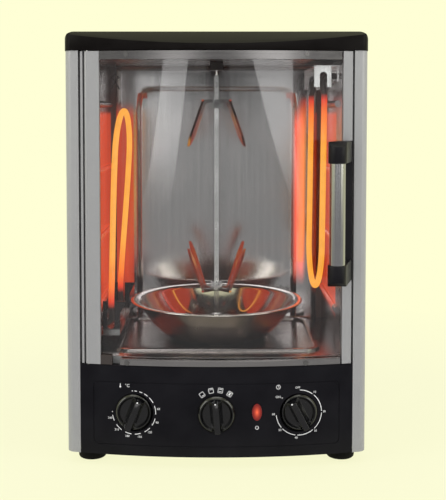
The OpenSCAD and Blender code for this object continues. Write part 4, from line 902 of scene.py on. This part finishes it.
# %% [markdown]
# ## Temperature and timer scales
# Both scales are arcs round the knob with gaps at the numbers, which stand outside them. The temperature
# scale starts with short dashes, and the timer's is nearly unbroken from OFF to 60.

# %% Scales
TEMPERATURE_R, TIMER_R = 23.2 * MM, 24.2 * MM
LINE, DOT, DIGIT = 0.75 * MM, 0.55 * MM, 2.3 * MM
TEMPERATURE_ARCS = [(2, 8), (15, 23), (28, 39), (45, 62), (70, 93), (104, 124), (133, 151), (162, 178),
                    (187, 204), (215, 234), (246, 261)]
TEMPERATURE_NUMBERS = [(60, 80), (90, 112), (120, 141), (150, 167), (180, 196), (210, 224), (240, 255)]
TIMER_ARCS = [(2, 36), (41, 88), (93, 137), (142, 184), (189, 226), (231, 265)]
TIMER_NUMBERS = [(10, 38), (20, 90), (30, 139), (40, 186), (50, 228), (60, 268)]


def scale(centre, radius, arcs, dots, numbers, outside):
    """Marks of a scale: bars, dots and numbers at their angles, the numbers further out than the bars."""
    return ([arc_bar(centre, radius, a, b, LINE) for a, b in arcs]
            + [disc(around(centre, radius, a), DOT) for a in dots]
            + [words(str(n), around(centre, radius + outside, a), DIGIT) for n, a in numbers])


marks = scale(temperature_at, TEMPERATURE_R, TEMPERATURE_ARCS, (-4, 270), TEMPERATURE_NUMBERS, 3.4 * MM)
marks += [words("°C", (temperature_at[0] - 7 * MM, temperature_at[1] + 28.5 * MM), 3.4 * MM)]
print_on("temperature_scale", marks)
marks = scale(timer_at, TIMER_R, TIMER_ARCS, (-48,), TIMER_NUMBERS, 2.9 * MM)
marks += [words("OFF", around(timer_at, TIMER_R + 2.6 * MM, -3), 2.2 * MM),
          words("ON", around(timer_at, TIMER_R + 4.0 * MM, -52), 2.4 * MM)]
print_on("timer_scale", marks)
print("scales:", len(TEMPERATURE_ARCS) + len(TIMER_ARCS), "arcs")

# %% [markdown]
# ## Signs
# A thermometer, a clock and a power sign tell the dials and the lamp apart. Each is a few bars, arcs and
# dots, drawn round its middle with one radius.

# %% Signs of dials and lamp
STROKE, HAND = 0.5 * MM, 0.45 * MM


def clock_sign(c, r):
    """Ring with two hands."""
    return [arc_bar(c, r, 0, 179, STROKE), arc_bar(c, r, 181, 359, STROKE),
            bar(c, (c[0], c[1] + r * 0.7), HAND), bar(c, (c[0] + r * 0.5, c[1]), HAND)]


def power_sign(c, r):
    """Open ring with a bar at the top."""
    return [arc_bar(c, r, 30, 330, STROKE), bar((c[0], c[1] + r * 0.25), (c[0], c[1] + r * 1.25), STROKE)]


def thermometer_sign(c, r):
    """Bulb with a stem."""
    return [disc((c[0], c[1] - r * 0.6), r * 0.5),
            bar((c[0], c[1] - r * 0.4), (c[0], c[1] + r * 1.1), r * 0.38)]


# Sign, its drawing, the middle that it is placed from, its place from there, and its radius, in millimetres
lens_foot = (lens_at[0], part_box("lamp_lens")[0].z)
SIGNS = [("thermometer_sign", thermometer_sign, temperature_at, (-14.5, 28.5), 2),
         ("clock_sign", clock_sign, timer_at, (-22, 28), 2.1),
         ("power_sign", power_sign, lens_foot, (0, -8), 1.7)]
for name, drawing, at, (right, up), radius in SIGNS:
    print_on(name, drawing((at[0] + right * MM, at[1] + up * MM), radius * MM))
print("signs:", len(SIGNS))

# %% [markdown]
# ## Program signs
# Four small framed signs stand over the middle knob, one for each program: heat from below, from above,
# from both, and from both with a dot for the motor. Each is turned to stand on the row's arc.

# %% Program signs
ROW_R, HEAT_BAR, MOTOR_DOT = 25.6 * MM, 0.6 * MM, 0.8 * MM
# Lines in the sign's own axes, in millimetres: along the row and away from the knob, at both ends
FRAME = [(-2.4, 2.5, 2.4, 2.5), (-2.4, -2.5, 2.4, -2.5), (-2.4, -2.2, -2.4, 2.2), (2.4, -2.2, 2.4, 2.2)]
UPPER, LOWER = (-1.5, 1.2, 1.5, 1.2), (-1.5, -1.2, 1.5, -1.2)
PROGRAMS = [(-36, [LOWER]), (-13, [UPPER]), (9.5, [UPPER, LOWER]), (33, [UPPER, LOWER])]


def turned_bars(c, angle, lines, width):
    """Bars round a middle: each end is the middle plus one number along the row and one outwards."""
    turn = math.radians(angle)
    up = np.array([math.sin(turn), math.cos(turn)])
    side = np.array([math.cos(turn), -math.sin(turn)])
    ends = [[tuple(np.array(c) + side * u * MM + up * v * MM) for u, v in (line[:2], line[2:])]
            for line in lines]
    return [bar(p, q, width) for p, q in ends]


marks = []
for angle, heat in PROGRAMS:
    at = around(function_at, ROW_R, angle)
    marks += turned_bars(at, angle, FRAME, STROKE) + turned_bars(at, angle, heat, HEAT_BAR)
marks.append(disc(at, MOTOR_DOT))
print_on("function_signs", marks)
print("program signs:", len(PROGRAMS), "of", len(marks), "marks")

# %% [markdown]
# ## Pointer dots
# Each knob has a small painted dot near the end of its grip. It rides on the knob's own body, so it turns
# with it. A ray from the front finds the depth at which the knob's surface lies under the dot.

# %% Pointer dots
POINTER_R, POINTER_DOT = 15.6 * MM, 0.8 * MM
POINTERS = [("temperature", temperature_at, 18), ("function", function_at, -5), ("timer", timer_at, -33)]
for name, at, turn in POINTERS:
    at = around(at, POINTER_R, turn)
    mesh = nodes[name + "_knob"].data
    tree = BVHTree.FromPolygons([v.co for v in mesh.vertices], [p.vertices for p in mesh.polygons])
    place, *_ = tree.ray_cast(Vector((at[0], -1, at[1])), Vector((0, 1, 0)))
    print_on(name + "_pointer", [disc(at, POINTER_DOT)], name + "_dial", place.y)
    print(name, "pointer at depth", round(place.y, 4))

# %% [markdown]
# ## Backdrop
# One flat pale yellow lies behind the grill. The world shows that colour to the camera and to reflections,
# and gives plain white light otherwise, so it doesn't tint matt surfaces.

# %% World
PALE = (1.0, 1.0, 0.672)
ROOM_LIGHT = 0.42


def seen_directly(owner):
    """1 for camera, glossy and transmission rays, else 0: the greatest of Light Path's three answers."""
    path = add(owner, "ShaderNodeLightPath").outputs
    total = path["Is Camera Ray"]
    for kind in ("Is Glossy Ray", "Is Transmission Ray"):
        total = reckon(owner, "MAXIMUM", total, path[kind])
    return total


def mix_to(owner, share, first, second, output):
    """Mixes two shaders by a share and hands them to the output node."""
    mixed = add(owner, "ShaderNodeMixShader")
    for index, source in enumerate((share, first, second)):
        wire(owner, source, mixed.inputs[index])
    wire(owner, mixed.outputs[0], owner.node_tree.nodes[output].inputs["Surface"])


world = bpy.data.worlds.new("studio")
bpy.context.scene.world = world
world.use_nodes = True
room = world.node_tree.nodes["Background"]
room.inputs["Color"].default_value = (1, 1, 1, 1)
room.inputs["Strength"].default_value = ROOM_LIGHT
backdrop = add(world, "ShaderNodeBackground", Color=(*PALE, 1))
mix_to(world, seen_directly(world), room.outputs[0], backdrop.outputs[0], "World Output")
print("backdrop", PALE, "light", ROOM_LIGHT)

# %% [markdown]
# ## Floor
# The floor is the same pale yellow, and keeps a soft shadow close to the feet: the share of flat colour
# over lit surface grows with the distance from the grill.

# %% Floor
FLOOR, FLOOR_Z = 6.0, -0.0005
SHARE_NEAR, SHARE_FAR, NEAR, FAR = 0.88, 1.0, 0.35, 0.85

mat, shader = start("studio_floor", (0.86, 0.86, 0.84), 0.9, Specular_IOR_Level=0.0)
flat = add(mat, "ShaderNodeEmission", Color=(*PALE, 1))
far = add(mat, "ShaderNodeVectorMath", operation="LENGTH")
wire(mat, add(mat, "ShaderNodeTexCoord").outputs["Object"], far.inputs[0])
share = spread(mat, far.outputs["Value"], SHARE_NEAR, SHARE_FAR, NEAR, FAR)
mix_to(mat, reckon(mat, "MULTIPLY", seen_directly(mat), share), shader.outputs[0], flat.outputs[0],
       "Material Output")
corners = FLOOR * np.array([[-1, -1, 0], [1, -1, 0], [1, 1, 0], [-1, 1, 0]])
corners[:, 2] = FLOOR_Z
floor = new_piece("studio_floor", corners, [(0, 1, 2, 3)], [mat])
print("floor:", 2 * FLOOR, "m square")

# %% [markdown]
# ## Lamps
# A wide wall of light in front, a box at each side and one above give the even light of a product
# photograph. Mirror rays don't see the front wall, since it would veil the glass.

# %% Lamps
AIM = (0, 0, 0.25)
# Place, width and height, radiance
LAMPS = {"front_wall": ((0, -3.4, 1.0), (5.2, 3.4), 0.34), "left_box": ((-2.1, -1.15, 1.3), (1.5, 1.9), 2.7),
         "right_box": ((2.1, -1.15, 1.1), (1.5, 1.9), 2.6), "top_box": ((0, -0.2, 2.3), (1.7, 1.2), 1.8)}


def softbox(name, place, size, radiance):
    """Area lamp aimed at the grill. Its power is pi times its area times its radiance."""
    data = bpy.data.lights.new(name, "AREA")
    data.shape = "RECTANGLE"
    data.size, data.size_y = size
    data.energy = math.pi * size[0] * size[1] * radiance
    holder = bpy.data.objects.new(name, data)
    bpy.context.scene.collection.objects.link(holder)
    holder.location = place
    holder.rotation_euler = (Vector(AIM) - Vector(place)).to_track_quat("-Z", "Y").to_euler()
    holder.visible_camera = False
    holder.visible_glossy = name != "front_wall"


for name, values in LAMPS.items():
    softbox(name, *values)
print("lamps:", len(LAMPS))

# %% [markdown]
# ## A grey sweep behind the camera
# Steel and glass look like what stands in front of them. In the photograph this is a grey room with a dark
# middle and two bright strips, which lie as pale veils on the bowed glass. So a curved sheet of grey paper
# lies before the grill and rises behind the camera, with the strips painted on it. Only mirror rays meet
# it: it is neither seen nor does it cast light or shadow.

# %% Sweep's paper
GREY, MIDDLE, STRIP = 0.42, 0.05, 2.3
LEFT_SLOPE, RIGHT_SLOPE = -0.32, 0.80
# Two limits and how soft each is, in metres
STRIP_HEIGHTS, LEFT_EDGES = (0.30, 2.2, 0.30, 0.4), (-0.90, -0.58, 0.02, 0.02)
RIGHT_INNER, RIGHT_OUTER = (0.97, 9, 0.03, 1), (-9, 1.03, 1, 0.03)
MIDDLE_WIDTH, MIDDLE_HEIGHT = (-0.12, 0.14, 0.05, 0.05), (0.42, 0.9, 0.08, 0.3)

paper, shader = start("sweep_paper", (0, 0, 0), 1.0, Specular_IOR_Level=0.0)
place = axes(paper)


def slanted(slope):
    """X plus a slope times Z: an edge at one value of it leans sideways as it rises."""
    return reckon(paper, "MULTIPLY_ADD", place["Z"], slope, place["X"])


def product(*values):
    """Product of several values."""
    total = values[0]
    for value in values[1:]:
        total = reckon(paper, "MULTIPLY", total, value)
    return total


tall = window(paper, place["Z"], *STRIP_HEIGHTS)
left_strip = product(window(paper, slanted(LEFT_SLOPE), *LEFT_EDGES), tall)
right_strip = product(window(paper, slanted(RIGHT_SLOPE), *RIGHT_INNER),
                      window(paper, place["X"], *RIGHT_OUTER), tall)
middle = product(window(paper, place["X"], *MIDDLE_WIDTH), window(paper, place["Z"], *MIDDLE_HEIGHT))
level = spread(paper, middle, GREY, MIDDLE, 0, 1)
for strip in (left_strip, right_strip):
    level = reckon(paper, "MULTIPLY_ADD", strip, STRIP, level)
wire(paper, level, shader.inputs["Emission Strength"])
shader.inputs["Emission Color"].default_value = (1, 0.98, 0.97, 1)
print("sweep: grey", GREY, "with strips", STRIP, "brighter")

# %% [markdown]
# The sheet itself is a profile drawn along X: flat on the floor, a quarter circle, and upright behind the
# camera.

# %% Grey sweep
SWEEP_FRONT, SWEEP_BACK, SWEEP_TURN, SWEEP_HIGH, SWEEP_HALF = -0.17, -3.0, 0.6, 3.0, 2.6


def sweep_grid():
    """A flat part, a quarter circle and an upright part as one profile, drawn along X in 3 rows of points."""
    a = np.radians(np.linspace(0, 90, 13))
    y = np.concatenate([[SWEEP_FRONT], SWEEP_BACK + SWEEP_TURN - SWEEP_TURN * np.sin(a), [SWEEP_BACK]])
    z = np.concatenate([[0], SWEEP_TURN - SWEEP_TURN * np.cos(a), [SWEEP_HIGH]])
    x = np.array([-SWEEP_HALF, 0, SWEEP_HALF])[:, None]
    points = np.stack([x + 0 * y, y + 0 * x, z + 0 * x], -1).reshape(-1, 3)
    i = np.arange(2)[:, None] * len(y)
    j = np.arange(len(y) - 1)[None, :]
    return points, np.stack([i + j, i + j + 1, i + j + 1 + len(y), i + j + len(y)], -1).reshape(-1, 4)


points, faces = sweep_grid()
sweep = new_piece("grey_sweep", points, faces.tolist(), [paper])
for kind in ("camera", "diffuse", "transmission", "volume_scatter", "shadow"):
    setattr(sweep, "visible_" + kind, False)
print("sweep:", len(faces), "faces")
